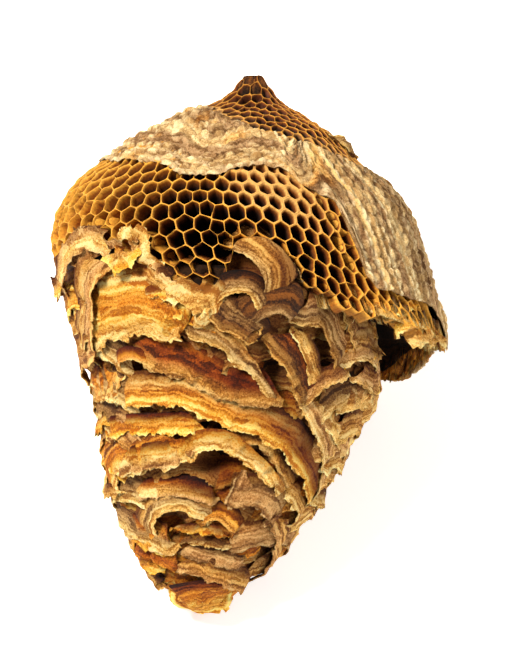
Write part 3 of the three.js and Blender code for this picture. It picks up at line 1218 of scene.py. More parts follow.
    def skirt(self, paper: bpy.types.Material) -> bpy.types.Object:
        """The skirt's underside: its broken rim and inner wall.

        Args:
            paper: its finish.

        Returns:
            The piece.
        """
        noise = Noise(9)
        angle = np.linspace(-math.pi, math.pi, 620, endpoint=False)
        rim = rim_height(self.form, angle)
        ragged = 2.2 * noise.rough(np.stack([CHART_RADIUS * angle, 0 * angle], -1), 4.0, 4) - 0.2
        behind = 6.0 * smoothstep(angle, -2.6, -2.2) * smoothstep(angle, 0.75, 0.5)
        lip = [lifted(self.form, angle, rim + above, proud - 0.9 - behind)
               for proud, above in ((0.2, 3.0), (0.5, 0.8), (0.0, 0.0))]
        wall, pits = self.pitted(angle, rim, ragged, behind, noise)
        hollow = self.hollow(angle, rim, ragged)
        grid = np.stack(lip + wall + hollow)
        count = len(grid)
        grid += 0.35 * noise.rough(grid, 3.0)[..., None] * np.linspace(0, 1, count)[:, None, None]
        step = np.arange(count, dtype=float)[:, None] + 0 * angle[None]
        grain = np.stack([step * 0.9, np.broadcast_to(CHART_RADIUS * angle, step.shape), 0.3 + 0 * step], -1)
        # Colour follows depth, as painted shade that deepens into the pits and up the hollow; it is darker
        # still beyond the sides.
        inner = 7.0 + 3 * np.linspace(0, 1, len(hollow))[:, None] + 0 * angle
        sunk = np.concatenate([np.zeros((len(lip), len(angle))), np.stack(pits), inner])
        sunk = sunk + 4.5 * smoothstep(np.abs(angle), 1.5, 1.9) * smoothstep(step, 3, 8)
        skin = Skin()
        skin.add_grid(grid, True, grain=grain, **toned(self.SKIRT_TONES, np.clip(sunk / 10, 0, 1)))
        made = skin.make("skirt_wall", self.laid)
        made.data.materials.append(paper)
        return made

    def pitted(self, angle: Points, rim: Points, ragged: Points, behind: Points,
               noise: Noise) -> tuple[list[Points], list[Points]]:
        """The rows across the rim's thickness, broken into pits.

        Args:
            angle: angles round the rim.
            rim: its height at each.
            ragged: how far it is torn away at each.
            behind: how far it stands behind the open cells at each.
            noise: what the pits are drawn from.

        Returns:
            The rows of points, and the depth of their pits.
        """
        rows, pits = [], []
        for share in np.linspace(0.05, 1.0, 24):
            spot = np.stack([CHART_RADIUS * angle, np.full(angle.shape, share * SKIRT_WALL)], -1)
            pebble, value = noise.pebbles(spot, 3.1)
            pit = (6.0 + 2.5 * value) * smoothstep(pebble, 0.2, 0.55)
            inwards = np.minimum(-share * SKIRT_WALL, -behind)
            rows.append(lifted(self.form, angle, rim + pit + ragged, inwards))
            pits.append(pit)
        return rows, pits

    def hollow(self, angle: Points, rim: Points, ragged: Points) -> list[Points]:
        """The rows up the inner wall of the skirt and in along its ceiling.

        Args:
            angle: angles round the rim.
            rim: its height at each.
            ragged: how far it is torn away at each.

        Returns:
            The rows of points.
        """
        rows = []
        for share in np.linspace(0.05, 1.0, 16):
            height = rim + (HOLLOW_CEILING - rim) * share + ragged * (1 - share) * 0.5
            rows.append(lifted(self.form, angle, height, np.full(angle.shape, -SKIRT_WALL)))
        ceiling = np.full(angle.shape, HOLLOW_CEILING)
        for share in np.linspace(0.25, 1, 4):
            inwards = np.full(angle.shape, -SKIRT_WALL - 9 * share)
            rows.append(lifted(self.form, angle, ceiling, inwards))
        return rows

    def shreds(self, paper: bpy.types.Material) -> bpy.types.Object:
        """Torn scraps that hang from the rim at the right, and the loose flap high on the right.

        Args:
            paper: its finish.

        Returns:
            The piece.
        """
        builder = SheetBuilder(self.form, grown=700)
        skin = Skin()
        for sheet in SHREDS:
            builder.add(skin, sheet, traced(self.form, sheet.edge))
        made = skin.make("torn_scraps", self.laid)
        made.data.materials.append(paper)
        return made


# ---- The cap ----


@dataclass
class CapPaper:
    """The pebbled cap over the back, the right and the top of the comb."""

    form: CombForm
    laid: LaidDown
    columns: int = 560
    rows: int = 118
    proud: float = 0.5
    pebble: float = 2.8
    lump: float = 1.5
    FRONT_TURNS = (-2.3, 1.75)  # angles between which the columns stand closer
    FRONT_SHARE = 0.72  # the share of the columns that stand there

    def turns(self) -> Points:
        """Angles of the columns, closer together at the front.

        Returns:
            The angles.
        """
        first, last = self.FRONT_TURNS
        front = np.linspace(first, last, int(self.columns * self.FRONT_SHARE), endpoint=False)
        back = np.linspace(last, 2 * math.pi + first, self.columns - len(front), endpoint=False)
        return np.concatenate([front, np.where(back > math.pi, back - 2 * math.pi, back)])

    def edges(self, angle: Points, noise: Noise) -> tuple[Points, Points]:
        """Heights of the cap's torn lower and upper edges at each angle.

        Args:
            angle: angles round the nest.
            noise: what the tears are drawn from.

        Returns:
            The lower heights and the upper heights.
        """
        wide = np.stack([CHART_RADIUS * np.cos(angle), CHART_RADIUS * np.sin(angle)], -1)
        low = window_top(self.form, angle) + 0.8 * noise.rough(wide, 5.0) + 0.5 * noise.rough(wide, 1.6)
        low = low + 3.2 * noise.rough(wide, 4.0) * smoothstep(np.abs(angle + 2.3), 0.55, 0.3)
        return low, self.high_edge(angle) + 0.7 * noise.rough(wide + 90, 4.0)

    def high_edge(self, angle: Points) -> Points:
        """Height of the cap's edge under the neck cells.

        Args:
            angle: angles round the nest.

        Returns:
            One height for each angle.
        """
        edge = Curve(NECK_EDGE)
        height = np.full(angle.shape, 150.0)
        for _ in range(20):
            x = np.clip(self.form.base(angle, height)[..., 0], -NECK_EDGE_END, NECK_EDGE_END)
            height = height * 0.5 + edge.at(x)[..., 0] * 0.5
        return height

    def band_at(self, angle: Points, height: Points, low: Points) -> Points:
        """Distance from the edge that the strips were added along.

        Args:
            angle: angles round the nest.
            height: heights up the nest.
            low: the height of the lower edge.

        Returns:
            One distance for each place.
        """
        above = (height - low) * 1.15
        window_turn = 0.62 - 0.004 * (height - 100)
        beside = np.where(angle > 0, 50 * (angle - window_turn), 99)
        side = smoothstep(angle, 0.45, 0.75) * smoothstep(angle, 2.2, 1.6)
        return above * (1 - side) + (beside * 0.9 - 0.10 * height) * side

    def pebbled(self, angles: Points, height: Points, bare: Points, noise: Noise) -> tuple[Points, Points]:
        """The pebbles of the paper: lying along the strips, and upright at the right side.

        Args:
            angles: angle of each point.
            height: its height.
            bare: its place on the comb.
            noise: what the pebbles are drawn from.

        Returns:
            How high each point is on its pebble, and its pebble's own value.
        """
        side = smoothstep(angles, 0.5, 0.8) * smoothstep(angles, 2.2, 1.7)
        chart = np.stack([CHART_RADIUS * angles, height * 1.25], -1)
        chart = chart + 0.8 * np.stack([noise.at(bare, 6.0), noise.at(bare + 40, 6.0)], -1)
        flat, flat_value = noise.pebbles(bare * (0.72, 0.72, 1.5), self.pebble)
        steep = np.stack([chart[..., 0] * 1.35 - 0.30 * height,
                          chart[..., 1] * 0.62 + 0.3 * chart[..., 0]], -1)
        pebble, value = noise.pebbles(steep, self.pebble)
        return flat + (pebble - flat) * side, flat_value + (value - flat_value) * side

    def relief(self, angles: Points, height: Points, low: Points, bare: Points, band: Points,
               pebble: Points, noise: Noise) -> Points:
        """How far the paper stands out: pebbles and ridges, and thinner at its upper and right edges.

        Args:
            angles: angle of each point.
            height: its height.
            low: the height of the lower edge.
            bare: its place on the comb.
            band: its distance along the strips.
            pebble: how high it is on its pebble.
            noise: what the waves are drawn from.

        Returns:
            The distance of each point from the comb.
        """
        ridge = np.sin(band * 2.3 + 2.2 * noise.at(bare, 6.0))
        x = bare[..., 0]
        knobbly = 0.8 + 0.5 * np.exp(-((x + 6) / 17) ** 2) * smoothstep(height, 128, 134) * (bare[..., 1] < 0)
        rise = self.lump * knobbly * pebble + 0.42 * ridge + 0.55 * noise.rough(bare, 7.0)
        crown = 0.8 * smoothstep(height, 128, 138) * smoothstep(x, 10, -10)
        share = np.linspace(0, 1, self.rows)[:, None]
        proud = (self.proud + rise - crown) * (smoothstep(share, 1.0, 0.955) * 0.8 + 0.2)
        thin = smoothstep(angles, 1.2, 1.42) * smoothstep(angles, 2.0, 1.8) * smoothstep(height - low, 9, 1)
        return proud * (1 - 0.7 * thin)

    def make(self, paper: bpy.types.Material) -> bpy.types.Object:
        """Builds the cap and its folded edges.

        Args:
            paper: its finish.

        Returns:
            The piece.
        """
        noise = Noise(21)
        angle = self.turns()
        low, high = self.edges(angle, noise)
        height = low + (high - low) * np.linspace(0, 1, self.rows)[:, None]
        angles = np.broadcast_to(angle, height.shape)
        bare = self.form.base(angles, height)
        band = self.band_at(angles, height, low)
        pebble, value = self.pebbled(angles, height, bare, noise)
        proud = self.relief(angles, height, low, bare, band, pebble, noise)
        fold = self.folded(angle, low, proud[0])
        grid = np.concatenate([fold, lifted(self.form, angles, height, proud)], 0)
        stray = band + 1.2 * noise.at(bare, 7.0)
        band, stray, pebble, value = (
            np.concatenate([np.repeat(v[:1], len(fold), 0), v], 0) for v in (band, stray, pebble, value)
        )
        turns = np.broadcast_to(angle, band.shape)
        grain = np.stack([band * 0.8 + pebble * 0.9, CHART_RADIUS * turns, 0.41 + 0 * band], -1)
        skin = Skin()
        skin.add_grid(grid, True, grain=grain, **self.tones(stray, pebble, value, turns))
        made = skin.make("cap_paper", self.laid)
        made.data.materials.append(paper)
        return made

    def folded(self, angle: Points, low: Points, proud: Points) -> Points:
        """Rows that turn the cap's lower edge in to the comb."""
        turned = ((4.5, 0.0), (2.0, 0.02), (0.5, 0.12), (-0.25, 0.45), (-0.3, 0.8))
        return np.stack([lifted(self.form, angle, low + up, proud * share) for up, share in turned])

    @staticmethod
    def strips(band: Points) -> Points:
        """How pale each added strip is, -1 to 1."""
        return Noise(23).rough(np.stack([band, 0 * band], -1), 2.6, 2)

    def tones(self, band: Points, pebble: Points, value: Points, angle: Points) -> dict[str, Points]:
        """Cream scales with mauve-grey grooves greyed by painted shade, in strips, with tan streaks.

        Args:
            band: distance along the strips.
            pebble: height on the pebble.
            value: the pebble's own value.
            angle: angles round the nest.

        Returns:
            The pale, mid and deep colours of each point.
        """
        streak = Noise(24).rough(np.stack([band, 12 * angle], -1), 3.4, 2)
        streaked = 0.75 * smoothstep(streak, 0.12, 0.5)[..., None]
        bands = 2.2 * self.strips(band) + 0.5 * value
        # The pebble term pales the tops and greys the grooves: painted shade.
        light = 0.46 + 0.16 * smoothstep(angle, 0.5, 0.9) + 1.1 * (pebble - 0.62) + 0.6 * bands
        light = np.clip(light, 0, 1)[..., None]
        made = {}
        for key in ("pale", "mid", "deep"):
            cream, grey, tan = (np.array(getattr(t.value, key)) for t in (Tone.CHALK, Tone.MAUVE, Tone.TAN))
            made[key] = grey + (cream - grey) * light
            made[key] += (tan - made[key]) * streaked
        return made


# ---- The lower envelope ----


@dataclass(frozen=True)
class Sheet:
    """One strip of paper, drawn by its free edge; its body is to the left as the edge is drawn."""

    edge: Stroke
    reach: float
    # Tones run from the free edge to the far side; the dark ones at the far side are partly the paper's
    # colour and partly painted shade where it tucks under the next strip.
    tones: tuple[Tone, ...]
    lift: float = 0.5
    sink: float = 2.0
    ragged: float = 0.9
    lumpy: float = 0.25
    over_comb: bool = False
    narrowing: float = 9.0  # millimetres over which it narrows to its drawn end
    # dusk is painted shade laid over the body towards the drawn end.
    dusk: float = 0.0  # how far its body darkens towards its drawn end


@dataclass(frozen=True)
class Pocket:
    """A hollow between sheets, in drawing units, where the layers are pushed in and the under strips take
    painted shade.
    """

    x: float
    y: float
    half_width: float
    half_height: float


POCKET_DEPTH = 5.0
POCKETS = (
    Pocket(80, 280, 5, 14), Pocket(104, 287, 8, 17), Pocket(141, 279, 10, 10), Pocket(198, 311, 11, 7),
    Pocket(138, 371, 14, 6), Pocket(279, 380, 11, 17), Pocket(328, 352, 8, 22), Pocket(350, 431, 12, 10),
    Pocket(263, 466, 9, 12), Pocket(245, 272, 18, 16), Pocket(225, 428, 22, 5), Pocket(290, 478, 8, 18),
    Pocket(205, 281, 5, 8), Pocket(173, 530, 10, 12), Pocket(152, 566, 9, 12), Pocket(130, 488, 6, 9),
    Pocket(213, 466, 17, 9),
)

# Short names of the tones, for the tables of sheets; D is the painted shade.
Y, C, T, P, G, O, R, B, D = (Tone.YELLOW, Tone.CREAM, Tone.TAN, Tone.PINK, Tone.GREY, Tone.OCHRE, Tone.RUST,
                             Tone.BROWN, Tone.PAINTED_SHADE)

SHREDS = (
    Sheet(((391, 309), (395, 317), (403, 321), (411, 318), (418, 313), (424, 312), (429, 317)), 4.5,
          (C, Y, O), -0.3, 2.0, 0.7, 0.6, True),
    Sheet(((404, 342), (407, 337), (412, 332), (419, 327), (425, 331), (428, 338), (434, 342)), 6,
          (C, Y, T), -0.6, 2.0, 0.8, 0.8, True),
    Sheet(((410, 344), (416, 351), (426, 350), (436, 350), (443, 353), (449, 352)), 9, (C, T, O), 0.1,
          1.6, 0.8, 0.7, True),
    Sheet(((357, 160), (350, 151), (343, 144), (335, 138), (328, 133)), 5, (C, G, C), 1.8, 1.2, 0.6,
          0.3, True),
)

CROWN_SHEETS = (
    Sheet(((206, 291), (196, 286), (184, 281), (172, 274), (160, 264), (150, 255)), 10, (P, C, T), 0.9,
          1.6, 0.9, 0.5, True),
    Sheet(((168, 268), (160, 256), (157, 244), (154, 232), (147, 223), (138, 220), (129, 222),
          (121, 229), (116, 237)), 9, (C, C, C, P), 1.7, 0.8, 1.0, 1.0, True),
    Sheet(((122, 238), (114, 234), (107, 231), (102, 224), (96, 221), (88, 222), (82, 228), (78, 235),
          (70, 240), (62, 248)), 11, (G, P, P, T), 1.9, 0.5, 1.0, 1.0, True),
    Sheet(((75, 298), (75, 290), (76, 281), (77, 271), (78, 263), (84, 255), (94, 251), (102, 252),
          (110, 258)), 10, (P, C, P, T), 3.3, 0.6, 0.5, 0.4),
    Sheet(((54, 300), (58, 296), (63, 300), (68, 304), (70, 296), (78, 298)), 9, (C, Y, P, T), 2.6, 1.0,
          1.4, 0.4),
    Sheet(((91, 386), (86, 379), (90, 370), (97, 368), (103, 361), (104, 350), (100, 343), (98, 335),
          (100, 325), (102, 312), (103, 304), (98, 297), (101, 288), (104, 280), (108, 274),
          (114, 271)), 12, (T, P, C, T), 2.3, 0.6, 0.6, 0.4),
    Sheet(((96, 356), (94, 350), (92, 344), (95, 339), (98, 342)), 4, (C, T), 2.8, 1.4, 0.5),
    Sheet(((103, 262), (109, 266), (115, 275), (121, 278), (125, 273), (132, 273), (139, 271),
          (143, 262), (147, 252)), 11, (Y, Y, C, O, G), 3.0, 0.4, 0.8, 0.9, True),
    Sheet(((146, 262), (152, 272), (160, 282), (166, 291)), 5, (C, P, G), 1.9, 2.0, 0.8, 0.5),
    Sheet(((156, 306), (167, 308), (176, 309), (186, 313), (191, 315), (197, 312), (203, 315),
          (208, 319), (215, 315), (214, 306), (209, 297)), 13, (C, C, C, C), 2.4, 1.6, 1.2, 1.0),
    Sheet(((134, 319), (144, 316), (154, 317), (164, 319), (176, 321), (187, 320), (194, 314)), 10,
          (Y, O, C, Y), 1.0, 2.2, 1.2, 0.6),
    Sheet(((137, 305), (146, 304), (158, 306), (170, 309), (184, 308)), 8, (C, Y, O), 1.3, 2.2, 1.0,
          0.6),
    Sheet(((101, 371), (103, 361), (108, 352), (115, 346), (125, 341), (133, 341), (139, 338),
          (146, 336), (156, 340), (165, 344), (175, 348), (178, 342), (188, 342), (186, 333),
          (186, 325)), 24, (C, C, Y, O, Y, C, Y), 1.4, 2.6, 1.2, 0.5),
    Sheet(((222, 252), (231, 251), (243, 256), (253, 264), (261, 274), (264, 286), (263, 296)), 16,
          (G, T, G, B), 1.5, 3.0, 0.4, dusk=0.5),
    Sheet(((213, 308), (217, 304), (223, 299), (233, 294), (245, 294), (253, 301), (255, 309),
          (256, 318)), 8, (C, G, B, D), 1.4, 3.0, 0.5),
    Sheet(((256, 330), (262, 318), (273, 312), (281, 312), (285, 317), (286, 324)), 12, (G, B, B, G),
          1.0, 2.4, 0.4),
    Sheet(((286, 326), (303, 324), (316, 327), (321, 337), (324, 349), (331, 361), (335, 372)), 13,
          (T, G, P, T), 1.3, 3.0, 0.5),
    Sheet(((333, 303), (341, 317), (346, 329), (350, 349), (352, 365)), 9, (T, P, T), 1.0, 1.6, 0.4),
    Sheet(((343, 372), (350, 367), (357, 363), (365, 363), (371, 368), (376, 378)), 17,
          (C, P, T, P, T, P), 0.9, 1.4, 0.6),
    Sheet(((347, 384), (352, 389), (358, 390), (362, 395), (368, 398), (375, 394), (380, 388)), 9,
          (C, P, T), 1.6, 2.0, 0.9),
    Sheet(((283, 246), (294, 262), (300, 278), (316, 290), (333, 302), (352, 308)), 9, (G, P), -0.2,
          2.0, 0.4),
)

WAIST_SHEETS = (
    Sheet(((192, 318), (208, 318), (216, 330), (223, 331), (231, 334), (241, 342), (246, 347),
          (253, 345), (265, 337), (264, 326)), 13, (T, B, G, B), 1.6, 2.8, 0.7),
    Sheet(((183, 326), (195, 330), (205, 331), (215, 334), (224, 341)), 7, (O, R), 0.4, 2.4, 0.5),
    Sheet(((180, 336), (190, 340), (207, 344), (220, 351), (229, 364), (236, 372), (245, 373),
          (247, 381), (253, 386), (264, 399), (270, 411)), 11, (C, G, T, R), 1.0, 2.8, 0.7,
          narrowing=40.0),
    Sheet(((258, 340), (261, 344), (268, 354), (276, 364), (282, 366), (284, 377), (288, 382),
          (287, 391), (293, 398), (296, 408), (304, 408)), 14, (T, B, R, G), 1.2, 3.0, 0.7),
    Sheet(((288, 332), (297, 347), (303, 365), (307, 385), (309, 400)), 8, (C, T, B), 0.6, 2.2, 0.5),
    Sheet(((124, 373), (125, 364), (130, 361), (138, 359), (146, 362), (149, 369)), 5, (C, O, R), 2.2,
          2.0, 0.6),
    Sheet(((128, 361), (138, 362), (147, 367), (152, 374), (162, 378), (176, 379), (190, 386),
          (205, 396), (220, 403), (236, 407), (252, 408), (268, 409), (280, 412)), 13, (G, T, R, R, O),
          0.9, 3.0, 0.8, 0.7, dusk=0.5),
    Sheet(((94, 411), (105, 405), (114, 402), (121, 397), (125, 388), (126, 376)), 14, (C, O, R), 1.1,
          2.6, 0.9),
    Sheet(((123, 413), (136, 409), (140, 410), (161, 409), (171, 411), (178, 409), (188, 410),
          (191, 413), (203, 423), (215, 424), (226, 434), (231, 432), (248, 435), (262, 444),
          (276, 453), (290, 470), (297, 484), (302, 500), (300, 511)), 12, (C, Y, O, C, T), 1.3, 3.2,
          0.8, dusk=0.7),
    Sheet(((306, 412), (313, 403), (319, 393), (329, 389), (336, 386), (352, 378)), 7, (C, P, T), 1.1,
          2.4, 0.6),
    Sheet(((337, 418), (349, 411), (359, 410), (372, 405)), 8, (C, T, P), 1.2, 2.8, 0.6),
    Sheet(((296, 408), (306, 425), (315, 445), (319, 462), (317, 480), (311, 496), (300, 514)), 12,
          (C, P, C, T), 0.7, 2.6, 0.5),
    Sheet(((322, 428), (330, 442), (338, 452), (348, 456)), 9, (C, C, P), 0.6, 2.0, 0.6),
    Sheet(((314, 474), (322, 478), (330, 472), (338, 476), (346, 462)), 9, (C, C, P), 1.3, 2.2, 0.9),
)

BELLY_SHEETS = (
    Sheet(((104, 444), (120, 441), (134, 439), (150, 439), (166, 438), (182, 437), (196, 438),
          (207, 441)), 8.5, (C, Y, Y, O, Y, R, B), 0.8, 2.0, 0.8, 0.7),
    Sheet(((92, 436), (100, 438), (108, 435), (113, 424)), 8, (Y, T), 1.8, 2.6, 1.1),
    Sheet(((100, 472), (104, 490), (109, 500), (118, 500), (129, 497)), 6, (C, T), 1.8, 1.4, 0.8),
    Sheet(((128, 500), (123, 491), (122, 482), (126, 475), (135, 477), (143, 478), (152, 474),
          (163, 470), (176, 470), (186, 468), (195, 463), (201, 455), (210, 451), (221, 453),
          (231, 460), (240, 467), (250, 473), (259, 481), (267, 491), (275, 503)), 16,
          (T, C, C, Y, O, O, T, O, Y), 1.4, 2.4, 0.9, 0.5, narrowing=80.0, dusk=0.55),
    Sheet(((124, 480), (134, 475), (146, 476), (158, 471), (170, 471), (183, 467), (194, 462),
          (201, 453)), 10, (C, P, C, Y, T), 2.2, 1.4, 1.0, 1.3),
    Sheet(((232, 458), (242, 450), (250, 449), (257, 452), (264, 455), (269, 462), (272, 470),
          (276, 478), (283, 488), (290, 499)), 8, (G, T, B, D), -0.4, 2.6, 0.6),
    Sheet(((133, 504), (139, 502), (150, 502), (165, 500), (180, 499), (192, 501), (203, 505),
          (213, 509), (221, 506)), 8, (G, P, C, C, O, R, B), 0.7, 2.6, 0.8, 0.5, dusk=0.75),
    Sheet(((164, 546), (159, 538), (158, 527), (160, 518), (166, 513), (175, 511), (185, 512),
          (193, 516), (200, 522), (206, 528)), 11, (T, C, G, T, B, O), 1.0, 2.4, 0.5),
    Sheet(((200, 534), (206, 524), (214, 521), (223, 524), (229, 532), (230, 542)), 7, (T, O, B), 0.4,
          2.4, 0.4),
    Sheet(((169, 538), (178, 534), (188, 538), (196, 538), (203, 535), (212, 538), (221, 541),
          (230, 541)), 4.5, (Y, Y, C, O), 0.2, 2.0, 0.8, 0.9),
    Sheet(((236, 468), (231, 478), (227, 487), (225, 495), (219, 499), (221, 506), (228, 508),
          (234, 509), (240, 506), (247, 506), (254, 511), (260, 517), (256, 526), (263, 525),
          (271, 531)), 12, (G, P, G, C), 2.0, 2.6, 0.8, 0.4),
    Sheet(((272, 496), (283, 503), (291, 512), (289, 521), (280, 526)), 8, (C, T), 1.2, 2.2, 0.9),
    Sheet(((302, 503), (308, 506), (315, 508), (320, 503), (326, 490)), 7, (C, G), 1.6, 2.2, 1.1),
)

TIP_SHEETS = (
    Sheet(((176, 553), (186, 549), (198, 547), (212, 549), (228, 553), (242, 552)), 5, (C, G, T), -0.2,
          2.4, 0.7, 0.4),
    Sheet(((124, 530), (132, 540), (143, 546), (154, 551), (166, 556), (176, 558), (184, 552)), 11,
          (P, C, G, O, T), 0.8, 2.6, 0.9, 0.5),
    Sheet(((262, 524), (269, 532), (271, 542), (269, 553), (264, 564), (257, 573), (248, 583)), 10,
          (P, T, G), 1.2, 2.2, 0.6),
    Sheet(((230, 556), (241, 559), (253, 559), (263, 553)), 14, (O, R, R, B), 0.1, 1.0, 0.6),
    Sheet(((134, 548), (142, 556), (150, 562), (160, 566), (170, 568), (176, 575), (184, 573)), 9,
          (O, R, O, C), 0.7, 2.6, 0.9, 0.5),
    Sheet(((178, 562), (190, 560), (202, 564), (214, 568), (228, 570), (244, 572)), 8, (G, P, G, T),
          0.5, 2.4, 0.7, 0.3),
    Sheet(((176, 577), (186, 573), (196, 577), (207, 583), (218, 586), (230, 591), (240, 594)), 9,
          (P, T, G), 1.1, 2.4, 0.8),
    Sheet(((134, 560), (142, 572), (151, 583), (160, 590), (168, 591)), 8, (T, B), 0.9, 2.2, 0.8),
    Sheet(((164, 590), (172, 599), (178, 607), (186, 609), (198, 611), (213, 615), (224, 612),
          (232, 602), (238, 592)), 17, (Y, Y, O, Y, O, O, R, B), 0.3, 0.2, 0.9),
    Sheet(((272, 556), (280, 551), (288, 548), (298, 535), (304, 520)), 8, (T, B), 0.3, 2.2, 0.8),
)


@dataclass
class SheetBuilder:
    """Grows strips of paper from their free edges and lays them on the lower form."""

    form: Form
    step: float = 0.5
    row_step: float = 0.62
    noise: Noise = field(default_factory=lambda: Noise(31))
    grown: int = 0
    WARM_SHADE = (1.0, 1.4, 1.9)  # shade takes blue first, so that shaded paper turns brown
    SEED_STEP = 0.618034
    NARROWING = 9.0  # millimetres over which a strip narrows to either end
    CREVICE = 4.5  # millimetres of its far side that lie in the shade of the next strip
    HIDDEN_SHADE = 0.26

    def evenly(self, edge: Points) -> Points:
        """A free edge, as angle and height, stepped evenly and rounded.

        Args:
            edge: the angle and height of each drawn point.

        Returns:
            The same edge in even steps.
        """
        space = self.form.base(edge[:, 0], edge[:, 1])
        run = np.concatenate([[0], np.cumsum(np.linalg.norm(np.diff(space, axis=0), axis=1))])
        count = max(8, int(run[-1] / self.step))
        want = np.linspace(0, run[-1], count)
        even = np.stack([np.interp(want, run, edge[:, k]) for k in range(2)], -1)
        return self.softened(even, 1.3 / self.step)

    @staticmethod
    def softened(values: Points, width: float) -> Points:
        """Values averaged along a strip, with its ends kept.

        Args:
            values: what to average, one row a step.
            width: over how many steps.

        Returns:
            The averaged values.
        """
        reach = int(max(1, width * 2))
        if len(values) <= reach:
            return values
        kernel = np.exp(-0.5 * (np.arange(-reach, reach + 1) / width) ** 2)
        kernel /= kernel.sum()
        head = 2 * values[:1] - values[1:reach + 1][::-1]
        tail = 2 * values[-1:] - values[-reach - 1:-1][::-1]
        long = np.concatenate([head, values, tail])
        return np.stack([np.convolve(long[:, k], kernel, "valid") for k in range(values.shape[1])], -1)

    def grow(self, edge: Points, reach: float) -> Points:
        """Rows of angle and height that step away from a free edge.

        Args:
            edge: the even free edge.
            reach: how far to grow, in millimetres.

        Returns:
            The rows, from the free edge outwards.
        """
        rows = [edge]
        for n in range(int(reach / self.row_step)):
            here = rows[-1]
            along, up = slopes(self.form, here[:, 0], here[:, 1])
            wide, tall = np.linalg.norm(along, axis=-1), np.linalg.norm(up, axis=-1)
            travel = np.gradient(here, axis=0) * np.stack([wide, tall], -1)
            normal = unit(np.stack([-travel[:, 1], travel[:, 0]], -1))
            normal = unit(self.softened(normal, (1.6 + 0.25 * n) / self.step))
            new = here + normal * self.row_step / np.stack([wide, tall], -1)
            new[1:-1] = new[1:-1] * 0.7 + (new[:-2] + new[2:]) * 0.15
            rows.append(new)
        return np.stack(rows)

    def torn(self, sheet: Sheet, run: Points) -> Points:
        """How far the free edge is torn back at each place along it.

        Args:
            sheet: the strip's sizes.
            run: distance along it.

        Returns:
            One distance for each place.
        """
        jag = np.stack([run, np.full(len(run), 50.0 * self.grown)], -1)
        torn = np.abs(self.noise.at(jag, 4.4)) * 1.7 + np.abs(self.noise.at(jag + 7, 1.9)) * 1.3
        torn = torn + np.abs(self.noise.at(jag + 13, 1.0)) * 1.0
        notch = np.maximum(0, self.noise.at(jag + 31, 3.5) - 0.4) * 3.6
        return sheet.ragged * np.clip(torn + notch - 0.2, 0, 3.6)

    def reached(self, sheet: Sheet, run: Points, cut: Points, count: int) -> Points:
        """How far from the drawn edge each row lies: from the tear to the far side, less at the ends.

        Args:
            sheet: the strip's sizes.
            run: distance along it.
            cut: how far its edge is torn back.
            count: how many rows there are.

        Returns:
            One distance for each row and place.
        """
        share = np.linspace(0, 1, count)[:, None]
        room = min(self.NARROWING, run[-1] / 3)
        inset = np.minimum(run, (run[-1] - run) * self.NARROWING / sheet.narrowing)
        taper = 0.3 + 0.7 * smoothstep(inset, 0.0, room)
        return cut[None] + (sheet.reach * taper - cut[None]) * share**1.15

    def relief(self, sheet: Sheet, run: Points, cut: Points, away: Points, base: Points) -> Points:
        """How far a strip stands out: lifted and curled at its free edge, diving at its far side.

        Args:
            sheet: its sizes.
            run: distance along it.
            cut: how far its edge is torn back.
            away: distance from its drawn edge.
            base: its place on the form.

        Returns:
            The distance of each point from the form.
        """
        ends = np.minimum(run, run[-1] - run)
        ends = smoothstep(ends, 0.0, min(5.0, run[-1] / 3))[None]
        fall = (away - cut[None]) / sheet.reach
        curl = 0.35 * np.exp(-(away - cut[None]) / 1.2)
        wave = 0.6 * self.noise.rough(base, 8.0) + 1.5 * sheet.lumpy * self.noise.rough(base + 70, 2.6, 2)
        flutter_at = np.stack([run, 0 * run + 9.0 * self.grown], -1)
        flutter = 0.6 * self.noise.at(flutter_at, 6.0)[None] * np.exp(-away / 3.0)
        crease_at = np.stack([run + 0 * away, away * 0.35 + 20.0 * self.grown], -1)
        crease = np.abs(self.noise.at(crease_at, 3.4))
        wave = wave + (0.2 + sheet.lumpy) * (0.5 - 2.0 * crease)
        dive = 0.4 * fall + 0.6 * np.clip(fall, 0, 1) ** 3
        return sheet.lift + curl + flutter - (sheet.sink + 0.8) * dive + wave - 1.9 * (1 - ends)

    def shade(self, sheet: Sheet, run: Points, away: Points, folds: int) -> Points:
        """How bright each point is painted: a painted highlight at the free edge, painted shade that grows
        away from it and at the far side, towards the drawn end where asked, and underneath.

        Args:
            sheet: its sizes.
            run: distance along it.
            away: distance from its drawn edge, with the rows underneath first.
            folds: how many rows lie underneath.

        Returns:
            A factor for each point.
        """
        shade = 1 + 0.16 * np.exp(-((away - away[0]) / 0.5) ** 2)
        if not sheet.over_comb:
            shade *= 1 - 0.78 * smoothstep(away, sheet.reach - self.CREVICE, sheet.reach)
        along = smoothstep(run / run[-1], 0.35, 0.75)
        shade *= 1 - sheet.dusk * along * smoothstep(away / sheet.reach, 0.1, 0.5)
        shade *= 1.1 - 0.22 * smoothstep(away, 0.0, 7.0)
        shade[: folds - 1] = self.HIDDEN_SHADE
        return shade

